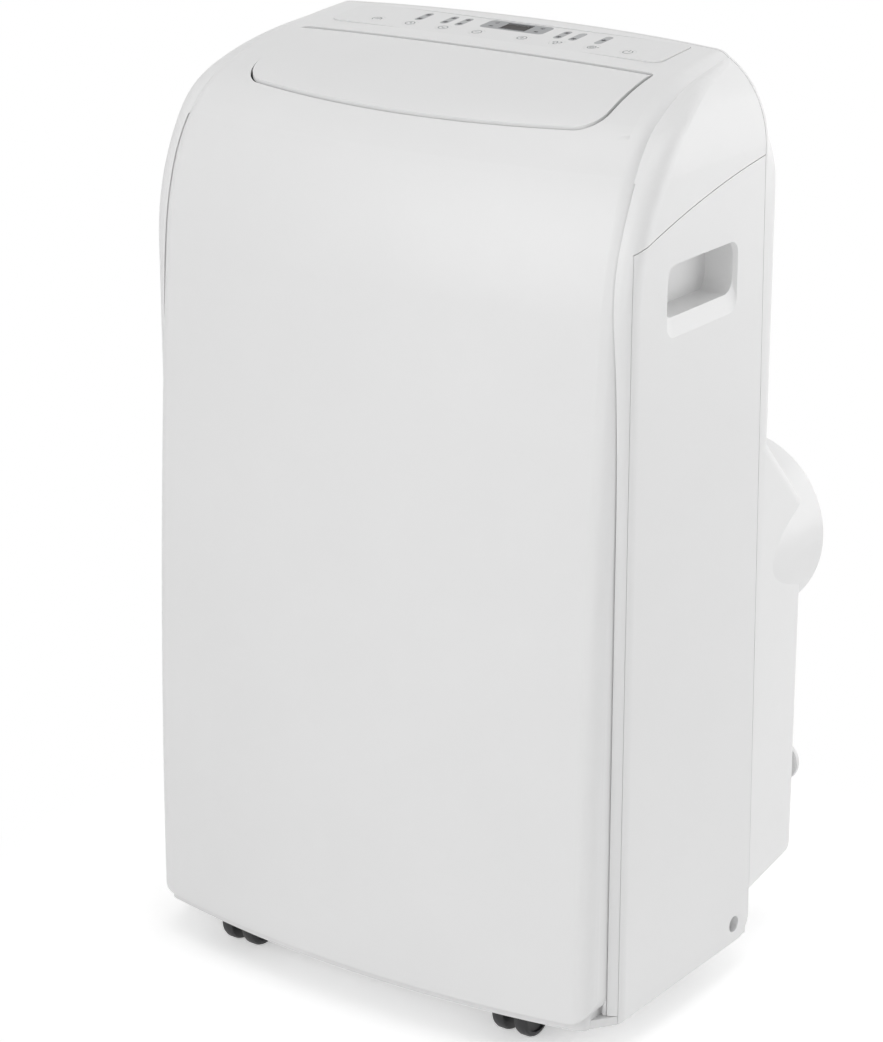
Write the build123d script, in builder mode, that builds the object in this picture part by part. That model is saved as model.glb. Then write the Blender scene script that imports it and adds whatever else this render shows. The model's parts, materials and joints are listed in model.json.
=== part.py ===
from build123d import *

import os
from math import acos, asin, atan, cos, degrees, radians, sin, sqrt, tan

# Portable air conditioner. Millimetres, +Z up, front towards -Y, right side +X.
# The origin is on the floor, under the middle of the overall box.

os.makedirs("parts", exist_ok=True)

# Overall size
HEIGHT = 765.0
WIDTH = 452.0
DEPTH = 362.0

# Mouldings
WALL = 2.8
SHEET = 2.5
SEAM = 0.6
FIT_GAP = 0.3
RUN_GAP = 0.05
FLOOR_Z = 28.0
FRONT_EDGE_Z = 36.0

# Cabinet form behind the bowed face: upright front, rounded shoulder, gently rising top
FACE_RISE = 49.0
SHOULDER_R = (180.0, 96.0, 280.0)
SHOULDER_TURN = (33.0, 65.0, 82.0)
RIDGE_BACK = 101.0
RIDGE_DROP = 4.0
CHEEK_R = 68.0
EDGE_R = 14.0

# Bowed face: turned about an upright axis far behind the cabinet, leaning back up to its brow
FACE_BOW_R = 986.0
FACE_LEAN_R = 6700.0
FACE_R = (230.0, 80.0, 240.0, 1100.0)
FACE_TURN = (30.0, 62.0, 82.0, 87.0)
FACE_MARGIN = 10.0
FACE_NARROW_R = 220.0
FACE_NARROW_DROP = 115.0
FACE_EDGE_R = 16.0
FACE_CORNER_R = 18.0
FACE_LINE_W = 0.9
FACE_LINE_DEPTH = 1.5
FACE_LINE_DROP = 70.0

# Seam between casing and side panels, and the bowed seam in front of the rear cover
SIDE_SEAM_IN = 6.0
SIDE_SEAM_R = 275.0
SIDE_SEAM_DROP = 117.2
SIDE_SEAM_SHELF = 6.3
SIDE_SEAM_STEP = 3.0
SIDE_SEAM_RUN = 170.4
SIDE_SEAM_RISE = 38.6
SIDE_SEAM_SAG = 4.1
REAR_SEAM_BACK = 86.0
REAR_SEAM_R = 1100.0
REAR_SEAM_LEAN = 1.2

# Louver and its see-saw hinge in the outlet
LOUVER_MARGIN = 62.0
LOUVER_FRONT = 75.0
LOUVER_CORNER = 95.0
LOUVER_REAR_GAP = 21.0
LOUVER_CORNER_R = 22.0
LOUVER_REAR_R = 4.0
LOUVER_GAP = 1.8
LOUVER_T = 3.0
LOUVER_PROUD = 1.2
HINGE_FROM_REAR = 38.0
HINGE_COVER = 1.0
EAR_T = 5.0
EAR_W = 16.0
EAR_IN = 2.0
PIN_R = 2.5
PIN_LENGTH = 9.0

# Control panel on the top
PANEL_BACK = 142.0
PANEL_SINK = 0.9
PANEL_MARGIN = 70.0
PANEL_LENGTH = 52.0
PANEL_T = 1.6
PANEL_CORNER_R = 9.0
BED_T = 3.0
BED_LIP = 4.0
KEY_X = (21.4, 54.0, 86.2, 119.0)
KEY_Y = -11.0
KEY_R = 6.5
KEY_STEM_R = 2.3
KEY_GAP = 0.2
KEY_TRAVEL = 0.5
DISPLAY_Y = 13.5
DISPLAY_WIDTH = 24.6
DISPLAY_LENGTH = 11.0
LAMP_X = (-87.0, -62.0, -48.0, 46.0, 60.0, 84.0)
LAMP_Y = 9.5
LAMP_WIDTH = 7.0
LAMP_LENGTH = 22.0
LENS_LIP = 1.2
POST_MARGIN = 16.0
POST_Y = 18.0
POST_R = 4.0
BOARD_DROP = 8.0
BOARD_T = 1.6
SWITCH_SIZE = 6.0

# Handle pocket in each side panel
HANDLE_TOP = 134.0
HANDLE_HEIGHT = 41.0
HANDLE_LENGTH = 98.0
HANDLE_FRONT = 100.0
HANDLE_DEPTH = 27.0
HANDLE_R = 11.0
SCOOP_DROP = 15.0
SCOOP_BACK = 3.0
SCOOP_DEPTH = 3.0

# Side panel foot, its screw and the ledge for the drip tray
CURL_R = 2.4
PANEL_FOOT_R = 22.0
SIDE_SCREW_BACK = 134.0
SIDE_SCREW_Z = 46.0
SCREW_POCKET_R = 7.0
SCREW_POCKET_DEPTH = 8.0
SCREW_HEAD_R = 4.5
SCREW_HEAD_T = 3.0
SCREW_R = 2.0
SCREW_LENGTH = 14.0
LEDGE_T = 6.0
LEDGE_W = 15.0
LEDGE_LENGTH = 130.0

# Rear cover: shallow upper part, shoulder, deep lower part, round exhaust hood
REAR_LOW = 13.0
REAR_HIGH = 85.0
REAR_TOP_DROP = 5.0
REAR_CHEEK_R = 100.0
REAR_RIM_R = 30.0
REAR_FLOOR_Z = 60.0
REAR_SHOULDER_DROP = 50.0
REAR_SHOULDER_H = 64.0
REAR_SHOULDER_R = 58.0
REAR_EDGE_R = 14.0
REAR_FOOT_R = 12.0
REAR_OPEN_BACK = 151.0
REAR_TAPER_BACK = 111.0
REAR_TAPER = 14.0
EXHAUST_MARGIN = 83.0
EXHAUST_DROP = 86.0
EXHAUST_R = 79.0
EXHAUST_BORE_R = 75.0
RING_T = 3.0
RING_LENGTH = 34.0
RING_LIP = 3.0
LOW_GRILLE_MARGIN = (106.0, 61.0)
LOW_GRILLE_EDGE = (23.0, 3.0)
SLOT_H = 6.0
SLOT_PITCH = 11.0
SLOT_RIB = 9.0

# Upper intake grille and filter, seated on the rear cover
WINDOW_MARGIN = 66.0
WINDOW_HEIGHT = 190.0
WINDOW_DROP = 180.0
GRILLE_LIP = 9.0
GRILLE_T = 2.5
FILTER_T = 6.0
FILTER_BAR = 3.0
FILTER_MESH_T = 1.0

# Fittings on the rear cover
HOOK_MARGIN = 36.0
HOOK_Z = 138.0
HOOK_R = 18.5
HOOK_T = 5.0
HOOK_STEM_R = 8.0
DRAIN_MARGIN = 66.0
DRAIN_DROP = 130.0
DRAIN_LOW_Z = 86.0
DRAIN_R = 9.0
DRAIN_BORE_R = 6.0
DRAIN_LENGTH = 9.0
CAP_T = 2.0
CAP_GAP = 0.15
GLAND_MARGIN = 38.0
GLAND_Z = 142.0
GLAND_R = 7.0
GLAND_FLANGE_R = 10.0
GLAND_FLANGE_T = 3.0
GLAND_BORE_R = 4.5
REAR_SCREW_IN = 8.0
REAR_SCREW_UP = 19.0

# Base pan and casters
BASE_INSET = 6.0
BASE_T = 3.0
BASE_RIM_Z = 59.4
CASTER_MARGIN = 88.0
CASTER_FRONT = 63.0
CASTER_REAR = 139.0
WHEEL_R = 20.0
WHEEL_W = 12.0
WHEEL_GAP = 9.0
TRAIL = 15.0
AXLE_R = 3.0
STEM_R = 5.0
STEM_LENGTH = 20.0
WELL_R = 41.0
WELL_Z = 48.0
HOOD_R = 16.0
HOOD_T = 6.0
HOOD_GAP = 1.0
ARM_GAP = 0.5
AXLE_IN = 1.0
FENDER_GAP = 1.2
FENDER_T = 1.8

# Air path of the evaporator, above the drip tray
TRAY_DROP = 335.0
TRAY_T = 3.0
TRAY_RIM = 12.0
NECK_DROP = 88.0
FUNNEL_H = 24.0
DUCT_SWING = 6.0
VANE_COUNT = 9
VANE_T = 2.0
VANE_H = 20.0
VANE_ROD = 4.0
FAN_R = 95.0
FAN_W = 60.0
FAN_BLADES = 24
FAN_CLEAR = 8.0
VOLUTE_STEP = 8.0
CHIMNEY_RIGHT = 60.0
SHAFT_R = 4.0
HUB_R = 14.0
MOTOR_R = 42.0
MOTOR_LENGTH = 46.0
MOTOR_FLANGE_R = 50.0
COIL_T = 30.0
COIL_MARGIN = 31.0
COIL_FIN_PITCH = 9.0
COIL_FIN_DEPTH = 9.0
COIL_GAP = 6.0
EVAPORATOR_TOP = 92.0
EVAPORATOR_BACK = 151.0

# Air path of the condenser, below the drip tray
CONDENSER_MARGIN = 26.0
CONDENSER_BACK = 10.0
CONDENSER_FAN_IN = 83.0
CONDENSER_FAN_Z = 165.0
CONDENSER_FAN_R = 80.0
OUTLET_R = 66.0
OUTLET_WALL = 67.0

# Compressor and electrics
COMPRESSOR_IN = 104.0
COMPRESSOR_FRONT = 131.0
COMPRESSOR_R = 58.0
COMPRESSOR_H = 216.0
COMPRESSOR_WALL = 14.0
MOUNT_R = 12.0
MOUNT_H = 12.0
MOUNT_CIRCLE = 72.0
FOOT_T = 3.0
PIPE_R = 5.0
PIPE_BEND = 20.0
BOX_SIZE = (120.0, 58.0, 86.0)
BOX_MARGIN = 96.0
BOX_FRONT = 92.0

FRONT_Y = -DEPTH / 2
RIM_Y = DEPTH / 2
HALF = WIDTH / 2
PLANE_Y = FRONT_Y + FACE_RISE
FACE_HALF = HALF - FACE_MARGIN
RIDGE_Y = RIM_Y - RIDGE_BACK
RIDGE_Z = HEIGHT - RIDGE_DROP
TOP_SLOPE = 90.0 - SHOULDER_TURN[-1]
FACE_AXIS_Y = FRONT_Y + FACE_BOW_R
PANEL_Y = RIM_Y - PANEL_BACK
PANEL_WIDTH = WIDTH - 2 * PANEL_MARGIN
POST_X = PANEL_WIDTH / 2 - POST_MARGIN
LOUVER_HALF = HALF - LOUVER_MARGIN
LOUVER_FRONT_Y = FRONT_Y + LOUVER_FRONT
LOUVER_CORNER_Y = FRONT_Y + LOUVER_CORNER
LOUVER_REAR_Y = PANEL_Y - PANEL_LENGTH / 2 - LOUVER_REAR_GAP
TRAY_Z = HEIGHT - TRAY_DROP
EXHAUST_X = HALF - EXHAUST_MARGIN
EXHAUST_Z = TRAY_Z - EXHAUST_DROP
REAR_SEAM_Y = RIM_Y - REAR_SEAM_BACK
REAR_OPEN_Y = RIM_Y - REAR_OPEN_BACK
REAR_TAPER_Y = RIM_Y - REAR_TAPER_BACK
REAR_Y = RIM_Y - REAR_LOW
REAR_HIGH_Y = RIM_Y - REAR_HIGH
REAR_SHOULDER_Z = TRAY_Z - REAR_SHOULDER_DROP
WINDOW_WIDTH = WIDTH - 2 * WINDOW_MARGIN
HOOK_X = HALF - HOOK_MARGIN
DRAIN_X = DRAIN_MARGIN - HALF
DRAIN_HIGH_Z = TRAY_Z - DRAIN_DROP
GLAND_X = GLAND_MARGIN - HALF
CASTER_X = HALF - CASTER_MARGIN
CASTER_FRONT_Y = FRONT_Y + CASTER_FRONT
CASTER_REAR_Y = RIM_Y - CASTER_REAR
SIDE_SCREW_Y = RIM_Y - SIDE_SCREW_BACK
COIL_HALF = HALF - COIL_MARGIN
EVAPORATOR_Y = RIM_Y - EVAPORATOR_BACK
CONDENSER_HALF = HALF - CONDENSER_MARGIN
CONDENSER_FAN_X = EXHAUST_X - CONDENSER_FAN_IN
COMPRESSOR_X = CONDENSER_FAN_X - COMPRESSOR_IN
COMPRESSOR_Y = FRONT_Y + COMPRESSOR_FRONT
BOX_X = HALF - BOX_MARGIN
BOX_Y = FRONT_Y + BOX_FRONT
HANDLE_Y = FRONT_Y + HANDLE_FRONT
HANDLE_Z = HEIGHT - HANDLE_TOP
NECK_Z = HEIGHT - NECK_DROP


def turned_run(radii, turns, start_turn):
    """How far back and up a chain of tangent arcs goes, from its first direction to its last."""
    back = 0.0
    up = 0.0
    done = start_turn
    for radius, turn in zip(radii, turns):
        back += radius * (cos(radians(done)) - cos(radians(turn)))
        up += radius * (sin(radians(turn)) - sin(radians(done)))
        done = turn
    return back, up


SHOULDER_RUN = turned_run(SHOULDER_R, SHOULDER_TURN, 0.0)
SHOULDER_Z = RIDGE_Z - SHOULDER_RUN[1] - (RIDGE_Y - PLANE_Y - SHOULDER_RUN[0]) * tan(radians(TOP_SLOPE))
BROW_TURN = 4.85
for step in range(8):
    brow_rise = HEIGHT - turned_run(FACE_R, FACE_TURN, BROW_TURN)[1] - FRONT_EDGE_Z
    BROW_TURN = degrees(asin(brow_rise / FACE_LEAN_R))


def face_height(y):
    """Height of the bowed face on its middle line at depth y, past the brow."""
    back = FRONT_Y + FACE_LEAN_R * (1 - cos(radians(BROW_TURN)))
    up = FRONT_EDGE_Z + FACE_LEAN_R * sin(radians(BROW_TURN))
    done = BROW_TURN
    for radius, turn in zip(FACE_R, FACE_TURN):
        end = back + radius * (cos(radians(done)) - cos(radians(turn)))
        if y <= end:
            angle = acos(cos(radians(done)) - (y - back) / radius)
            return up + radius * (sin(angle) - sin(radians(done)))
        up += radius * (sin(radians(turn)) - sin(radians(done)))
        back = end
        done = turn
    return up + (y - back) / tan(radians(done))


def upright(y):
    """Plane facing the front at depth y, with X across and Z up."""
    return Plane.XZ.offset(-y)


def side_wall(x):
    """Plane facing the right at width x, with Y across and Z up."""
    return Plane.YZ.offset(x)


def level(z):
    """Plane facing up at height z."""
    return Plane.XY.offset(z)


def save(built, name):
    """Label a finished piece and write it out."""
    built.part.label = name
    export_step(built.part, f"parts/{name}.step")


def arc_chain(start, radii, turns, inset):
    """Tangent arcs that turn from upright towards the back, each drawn in by inset."""
    point = Vector(*start)
    done = 0.0
    arcs = []
    for radius, turn in zip(radii, turns):
        tangent = (sin(radians(done)), cos(radians(done)))
        arcs.append(JernArc(point, tangent, radius - inset, done - turn))
        point = arcs[-1] @ 1
        done = turn
    return arcs


def cabinet_block(inset, bottom):
    """Solid of the plain cabinet form, drawn in by inset and cut off at bottom."""
    reach = RIDGE_Y + 2 * CHEEK_R
    with BuildPart() as block:
        with BuildSketch(Plane.YZ):
            with BuildLine():
                front = Line((PLANE_Y + inset, bottom), (PLANE_Y + inset, SHOULDER_Z))
                last = arc_chain((PLANE_Y + inset, SHOULDER_Z), SHOULDER_R, SHOULDER_TURN, inset)[-1]
                run = (reach - (last @ 1).X) / cos(radians(TOP_SLOPE))
                top = Line(last @ 1, last @ 1 + (last % 1) * run)
                Polyline(top @ 1, (reach, bottom), front @ 0)
            make_face()
        extrude(amount=HALF - inset, both=True)
        with BuildSketch(Plane.XZ) as outline:
            with Locations((0, (HEIGHT - inset + bottom) / 2)):
                Rectangle(WIDTH - 2 * inset, HEIGHT - inset - bottom)
            fillet(outline.vertices().group_by(Axis.Y)[-1], CHEEK_R - inset)
        extrude(amount=2 * DEPTH, both=True, mode=Mode.INTERSECT)
        rims = block.edges().filter_by(Axis.Y, reverse=True)
        rims = rims.filter_by(lambda e: abs(e.center().X) > FACE_HALF / 2)
        rims = rims.filter_by(lambda e: e.center().Z > bottom + 1 and e.center().Y < reach - 1)
        fillet(rims, EDGE_R - inset)
    return block.part


def face_block(inset, bottom):
    """Solid of the bowed face form, drawn in by inset and cut off at bottom."""
    span = 1.3 * degrees(asin(FACE_HALF / FACE_BOW_R))
    back = FACE_AXIS_Y - RIDGE_Y - 2 * CHEEK_R
    plane = Plane(
        (0, FACE_AXIS_Y, 0),
        x_dir=(sin(radians(span)), -cos(radians(span)), 0),
        z_dir=(-cos(radians(span)), -sin(radians(span)), 0),
    )
    with BuildPart() as block:
        with BuildSketch(plane):
            with BuildLine():
                foot = Line((FACE_BOW_R - inset, 0), (FACE_BOW_R - inset, FRONT_EDGE_Z))
                point = foot @ 1
                done = 0.0
                for radius, turn in zip((FACE_LEAN_R, *FACE_R), (BROW_TURN, *FACE_TURN)):
                    way = (-sin(radians(done)), cos(radians(done)))
                    arc = JernArc(point, way, radius - inset, turn - done)
                    point = arc @ 1
                    done = turn
                top = Line(point, (back, point.Y + (point.X - back) / tan(radians(done))))
                Polyline(top @ 1, (back, 0), foot @ 0)
            make_face()
        revolve(axis=Axis((0, FACE_AXIS_Y, 0), (0, 0, 1)), revolution_arc=-2 * span)
        half = FACE_HALF - inset
        with BuildSketch(Plane.XZ):
            with BuildLine():
                side = Line((half, bottom), (half, HEIGHT - FACE_NARROW_DROP))
                lean = JernArc(side @ 1, (0, 1), FACE_NARROW_R - inset, 50)
                Polyline(lean @ 1, (0, (lean @ 1).Y), (0, bottom), (half, bottom))
            make_face()
            mirror(about=Plane.YZ)
        extrude(amount=2 * DEPTH, both=True, mode=Mode.INTERSECT)
        rims = block.edges().filter_by(Axis.Y, reverse=True)
        rims = rims.filter_by(lambda e: abs(e.center().X) > FACE_HALF / 2)
        rims = rims.filter_by(lambda e: e.center().Z > bottom + 1 and e.center().Y < RIDGE_Y + CHEEK_R)
        fillet(rims, FACE_EDGE_R - inset)
    return block.part


def side_zone(gap):
    """Block over the side panels' area, drawn in by gap from their seam with the casing."""
    inset = SIDE_SEAM_IN + gap
    seam_z = HEIGHT - SIDE_SEAM_DROP - gap
    turn = degrees(asin((seam_z - SHOULDER_Z) / (SIDE_SEAM_R - gap)))
    with BuildPart() as zone:
        with BuildSketch(Plane.YZ):
            with BuildLine():
                front = Line((PLANE_Y + inset, -FLOOR_Z), (PLANE_Y + inset, SHOULDER_Z))
                lean = JernArc(front @ 1, (0, 1), SIDE_SEAM_R - gap, -turn)
                start = lean @ 1 + Vector(SIDE_SEAM_SHELF, SIDE_SEAM_STEP)
                end = start + Vector(SIDE_SEAM_RUN, SIDE_SEAM_RISE)
                middle = (start + end) / 2 + Vector(0, SIDE_SEAM_SAG)
                Line(lean @ 1, start)
                curve = ThreePointArc(start, middle, end)
                onward = end + (curve % 1) * DEPTH / 2
                Polyline(end, onward, (DEPTH, onward.Y), (DEPTH, -FLOOR_Z), front @ 0)
            make_face()
        extrude(amount=WIDTH, both=True)
    return zone.part


def front_zone(gap):
    """Leaning drum whose back is the bowed seam between the cabinet and the rear cover."""
    with BuildPart() as zone:
        with BuildSketch(Plane.XY):
            with Locations((0, REAR_SEAM_Y - REAR_SEAM_R)):
                Circle(REAR_SEAM_R + gap)
        extrude(amount=1.1 * HEIGHT, dir=(0, -sin(radians(REAR_SEAM_LEAN)), cos(radians(REAR_SEAM_LEAN))))
    return zone.part


def rear_block(inset):
    """Solid of the rear cover's form, drawn in by inset, open towards the cabinet."""
    high_z = REAR_SHOULDER_Z + REAR_SHOULDER_H
    top_z = HEIGHT - REAR_TOP_DROP - inset
    half = HALF - inset
    with BuildPart() as upper:
        with BuildSketch(upright(REAR_OPEN_Y)) as view:
            with Locations((0, (REAR_SHOULDER_Z + top_z) / 2)):
                Rectangle(2 * half, top_z - REAR_SHOULDER_Z)
            fillet(view.vertices().group_by(Axis.Y)[-1], REAR_CHEEK_R - inset)
        extrude(amount=REAR_OPEN_Y - REAR_HIGH_Y + inset)
        rim = upper.faces().sort_by(Axis.Y)[-1].edges()
        fillet(rim.filter_by(lambda e: e.center().Z > REAR_SHOULDER_Z + 1), REAR_RIM_R - inset)
    slant = REAR_SHOULDER_H / (REAR_Y - REAR_HIGH_Y)
    peak_z = high_z + (REAR_HIGH_Y - REAR_TAPER_Y) * slant
    with BuildPart() as lower:
        with BuildSketch(Plane.YZ) as profile:
            with BuildLine():
                Polyline(
                    (REAR_OPEN_Y, REAR_FLOOR_Z),
                    (REAR_Y, REAR_FLOOR_Z),
                    (REAR_Y, REAR_SHOULDER_Z),
                    (REAR_TAPER_Y, peak_z),
                    (REAR_OPEN_Y, peak_z),
                    close=True,
                )
            make_face()
            bends = profile.vertices().filter_by(lambda v: v.X > REAR_Y - 1)
            fillet(bends.sort_by(Axis.Y)[0], REAR_FOOT_R)
            fillet(bends.sort_by(Axis.Y)[-1], REAR_SHOULDER_R)
            if inset:
                offset(amount=-inset)
        extrude(amount=WIDTH, both=True)
        with BuildSketch(Plane.XY) as plan:
            with BuildLine():
                slope = REAR_TAPER / (REAR_Y - REAR_TAPER_Y)
                kink = REAR_TAPER_Y + inset * slope / 2
                tail = half - (DEPTH - kink) * slope
                Polyline(
                    (half, 0), (half, kink), (tail, DEPTH), (-tail, DEPTH), (-half, kink), (-half, 0), close=True
                )
            make_face()
            fillet(plan.vertices().filter_by(lambda v: abs(v.Y - kink) < 1), 4 * REAR_EDGE_R)
        extrude(amount=2 * HEIGHT, mode=Mode.INTERSECT)
        rims = lower.edges().filter_by(lambda e: e.center().Y > REAR_TAPER_Y + 10 and abs(e.center().X) > HALF / 2)
        fillet(rims, REAR_EDGE_R - inset)
    return upper.part + lower.part


def louver_outline(grow):
    """Plan of the louver, straight at the back and bowed at the front, enlarged by grow."""
    with BuildSketch(level(SHOULDER_Z)) as plan:
        with BuildLine():
            right = (LOUVER_HALF, LOUVER_CORNER_Y)
            left = (-LOUVER_HALF, LOUVER_CORNER_Y)
            ThreePointArc(left, (0, LOUVER_FRONT_Y), right)
            Polyline(right, (LOUVER_HALF, LOUVER_REAR_Y), (-LOUVER_HALF, LOUVER_REAR_Y), left)
        make_face()
        fillet(plan.vertices().group_by(Axis.Y)[0], LOUVER_CORNER_R)
        fillet(plan.vertices().group_by(Axis.Y)[-1], LOUVER_REAR_R)
        if grow:
            offset(amount=grow)
    return plan.sketch


PANEL_SLOPE = degrees(
    atan((face_height(PANEL_Y + PANEL_LENGTH / 2) - face_height(PANEL_Y - PANEL_LENGTH / 2)) / PANEL_LENGTH)
)
PANEL_PLANE = Plane(
    (0, PANEL_Y, face_height(PANEL_Y) - PANEL_SINK),
    x_dir=(1, 0, 0),
    z_dir=(0, -sin(radians(PANEL_SLOPE)), cos(radians(PANEL_SLOPE))),
)
KEY_SPOTS = [(side * x, KEY_Y) for side in (-1, 1) for x in KEY_X]
LAMP_SPOTS = [(x, LAMP_Y) for x in LAMP_X]
BOARD_TOP = PANEL_T + BED_T + BOARD_DROP
HINGE_Y = LOUVER_REAR_Y - HINGE_FROM_REAR
neck_half = LOUVER_HALF + LOUVER_GAP
hinge_bow_y = FACE_AXIS_Y - sqrt(neck_half**2 + (FACE_AXIS_Y - HINGE_Y) ** 2)
HINGE_Z = face_height(hinge_bow_y) - WALL - FIT_GAP - PIN_R - HINGE_COVER

front_drum = front_zone(0)
cabinet_inside = cabinet_block(WALL, 0)
face_outside = face_block(0, FLOOR_Z)
face_inside = face_block(WALL, 0)

# Bowed face with its rounded lower corners, and the fine line where it rises out of the cabinet
with BuildPart() as bowed_face:
    add(face_outside)
    with BuildSketch(Plane.XZ) as front_view:
        with Locations((0, HEIGHT / 2 + FRONT_EDGE_Z)):
            Rectangle(2 * FACE_HALF, HEIGHT)
        fillet(front_view.vertices().group_by(Axis.Y)[0], FACE_CORNER_R)
    extrude(amount=2 * DEPTH, both=True, mode=Mode.INTERSECT)

with BuildPart() as face_line:
    with BuildSketch(level(FLOOR_Z)):
        Rectangle(WIDTH, 2 * DEPTH)
    extrude(amount=HEIGHT - FACE_LINE_DROP - FLOOR_Z)
    add(face_block(-FACE_LINE_W, FLOOR_Z), mode=Mode.INTERSECT)
    add(face_outside, mode=Mode.SUBTRACT)
    add(cabinet_block(FACE_LINE_DEPTH, 0), mode=Mode.SUBTRACT)

# Front casing: front face, shoulder, top and upper cheeks in one moulding, with the bed of the
# control panel and the outlet
with BuildPart() as front_casing:
    add(cabinet_block(0, FRONT_EDGE_Z))
    add(bowed_face.part)
    add(cabinet_inside, mode=Mode.SUBTRACT)
    add(face_inside, mode=Mode.SUBTRACT)
    add(side_zone(0), mode=Mode.SUBTRACT)
    add(front_drum, mode=Mode.INTERSECT)
    add(face_line.part, mode=Mode.SUBTRACT)
    extrude(louver_outline(LOUVER_GAP), amount=HEIGHT, mode=Mode.SUBTRACT)
    with BuildSketch(PANEL_PLANE.offset(-PANEL_T - BED_T)):
        RectangleRounded(PANEL_WIDTH + 2 * BED_LIP, PANEL_LENGTH + 2 * BED_LIP, PANEL_CORNER_R)
    extrude(amount=BED_T)
    with BuildSketch(PANEL_PLANE.offset(-PANEL_T)):
        RectangleRounded(PANEL_WIDTH + 2 * FIT_GAP, PANEL_LENGTH + 2 * FIT_GAP, PANEL_CORNER_R)
    extrude(amount=BED_T + PANEL_T, mode=Mode.SUBTRACT)
    with BuildSketch(PANEL_PLANE.offset(-PANEL_T)):
        with Locations(*KEY_SPOTS):
            Circle(KEY_R + KEY_GAP)
    extrude(amount=-KEY_TRAVEL - KEY_GAP, mode=Mode.SUBTRACT)
    with BuildSketch(PANEL_PLANE.offset(-PANEL_T)):
        with Locations(*KEY_SPOTS):
            Circle(KEY_STEM_R + KEY_GAP)
        with Locations((0, DISPLAY_Y)):
            Rectangle(DISPLAY_WIDTH - 2 * LENS_LIP, DISPLAY_LENGTH - 2 * LENS_LIP)
        with Locations(*LAMP_SPOTS):
            Rectangle(LAMP_WIDTH - 2 * LENS_LIP, LAMP_LENGTH - LAMP_WIDTH)
    extrude(amount=-2 * BED_T, mode=Mode.SUBTRACT)
    with BuildSketch(PANEL_PLANE.offset(-PANEL_T - BED_T)):
        with GridLocations(2 * POST_X, 2 * POST_Y, 2, 2):
            Circle(POST_R)
    extrude(amount=-BOARD_DROP)
save(front_casing, "front_casing")

# Side panels with a scooped handle pocket, a screw cup near the foot and a ledge for the drip tray
pocket_middle = (HANDLE_Y + HANDLE_LENGTH / 2, HANDLE_Z - HANDLE_HEIGHT / 2)
scoop_middle = (pocket_middle[0] + SCOOP_BACK / 2, pocket_middle[1] - SCOOP_DROP / 2)
foot_y = REAR_SEAM_Y - REAR_SEAM_R + sqrt(REAR_SEAM_R**2 - HALF**2)
SCREW_SEAT = HALF - SCREW_POCKET_DEPTH
CUP_FLOOR = SCREW_SEAT - SHEET


def pocket_mouth(x, share, grow):
    """Outline at width x: the scoop's on the panel's face at share 0, the pocket's own at share 1."""
    middle_y = scoop_middle[0] + share * (pocket_middle[0] - scoop_middle[0])
    middle_z = scoop_middle[1] + share * (pocket_middle[1] - scoop_middle[1])
    with BuildSketch(side_wall(x)) as mouth:
        with Locations((middle_y, middle_z)):
            RectangleRounded(
                HANDLE_LENGTH + (1 - share) * SCOOP_BACK + 2 * grow,
                HANDLE_HEIGHT + (1 - share) * SCOOP_DROP + 2 * grow,
                HANDLE_R + grow,
            )
    return mouth.sketch


with BuildPart() as right_panel:
    add(cabinet_block(0, FLOOR_Z))
    add(cabinet_inside, mode=Mode.SUBTRACT)
    add(side_zone(SEAM), mode=Mode.INTERSECT)
    add(front_drum, mode=Mode.INTERSECT)
    split(bisect_by=side_wall(HALF - EDGE_R), keep=Keep.TOP)
    with BuildSketch(Plane.YZ):
        with Locations((foot_y - PANEL_FOOT_R, FLOOR_Z + PANEL_FOOT_R)):
            Rectangle(2 * PANEL_FOOT_R, 2 * PANEL_FOOT_R, align=(Align.MIN, Align.MAX))
            Circle(PANEL_FOOT_R, mode=Mode.SUBTRACT)
    extrude(amount=WIDTH, mode=Mode.SUBTRACT)
    with BuildSketch(Plane.XZ):
        with Locations((HALF - CURL_R, FLOOR_Z + CURL_R)):
            Rectangle(2 * CURL_R, 2 * CURL_R, align=(Align.MIN, Align.MAX))
            Circle(CURL_R, mode=Mode.SUBTRACT)
    extrude(amount=DEPTH, both=True, mode=Mode.SUBTRACT)
    loft([pocket_mouth(HALF - WALL / 2, 0, SHEET), pocket_mouth(HALF - SCOOP_DEPTH - SHEET, 1, SHEET)])
    extrude(pocket_mouth(HALF - SCOOP_DEPTH, 1, SHEET), amount=SCOOP_DEPTH - HANDLE_DEPTH - SHEET)
    loft([pocket_mouth(HALF, 0, 0), pocket_mouth(HALF - SCOOP_DEPTH, 1, 0)], mode=Mode.SUBTRACT)
    extrude(
        pocket_mouth(HALF - SCOOP_DEPTH, 1, 0), amount=SCOOP_DEPTH - HANDLE_DEPTH, mode=Mode.SUBTRACT
    )
    with BuildSketch(side_wall(HALF - WALL)):
        with Locations((SIDE_SCREW_Y, SIDE_SCREW_Z)):
            Circle(SCREW_POCKET_R + SHEET)
    extrude(amount=CUP_FLOOR - HALF + WALL)
    with BuildSketch(side_wall(HALF)):
        with Locations((SIDE_SCREW_Y, SIDE_SCREW_Z)):
            Circle(SCREW_POCKET_R)
    extrude(amount=-SCREW_POCKET_DEPTH, mode=Mode.SUBTRACT)
    with BuildSketch(side_wall(HALF)):
        with Locations((SIDE_SCREW_Y, SIDE_SCREW_Z)):
            Circle(SCREW_R + KEY_GAP)
    extrude(amount=-2 * SCREW_POCKET_DEPTH, mode=Mode.SUBTRACT)
    with BuildSketch(side_wall(HALF - WALL)):
        with Locations((HANDLE_Y + HANDLE_LENGTH / 2, TRAY_Z - TRAY_T - LEDGE_T / 2)):
            Rectangle(LEDGE_LENGTH, LEDGE_T)
    extrude(amount=-LEDGE_W)
save(right_panel, "right_side_panel")

with BuildPart() as left_panel:
    mirror(right_panel.part, about=Plane.YZ)
save(left_panel, "left_side_panel")

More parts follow.
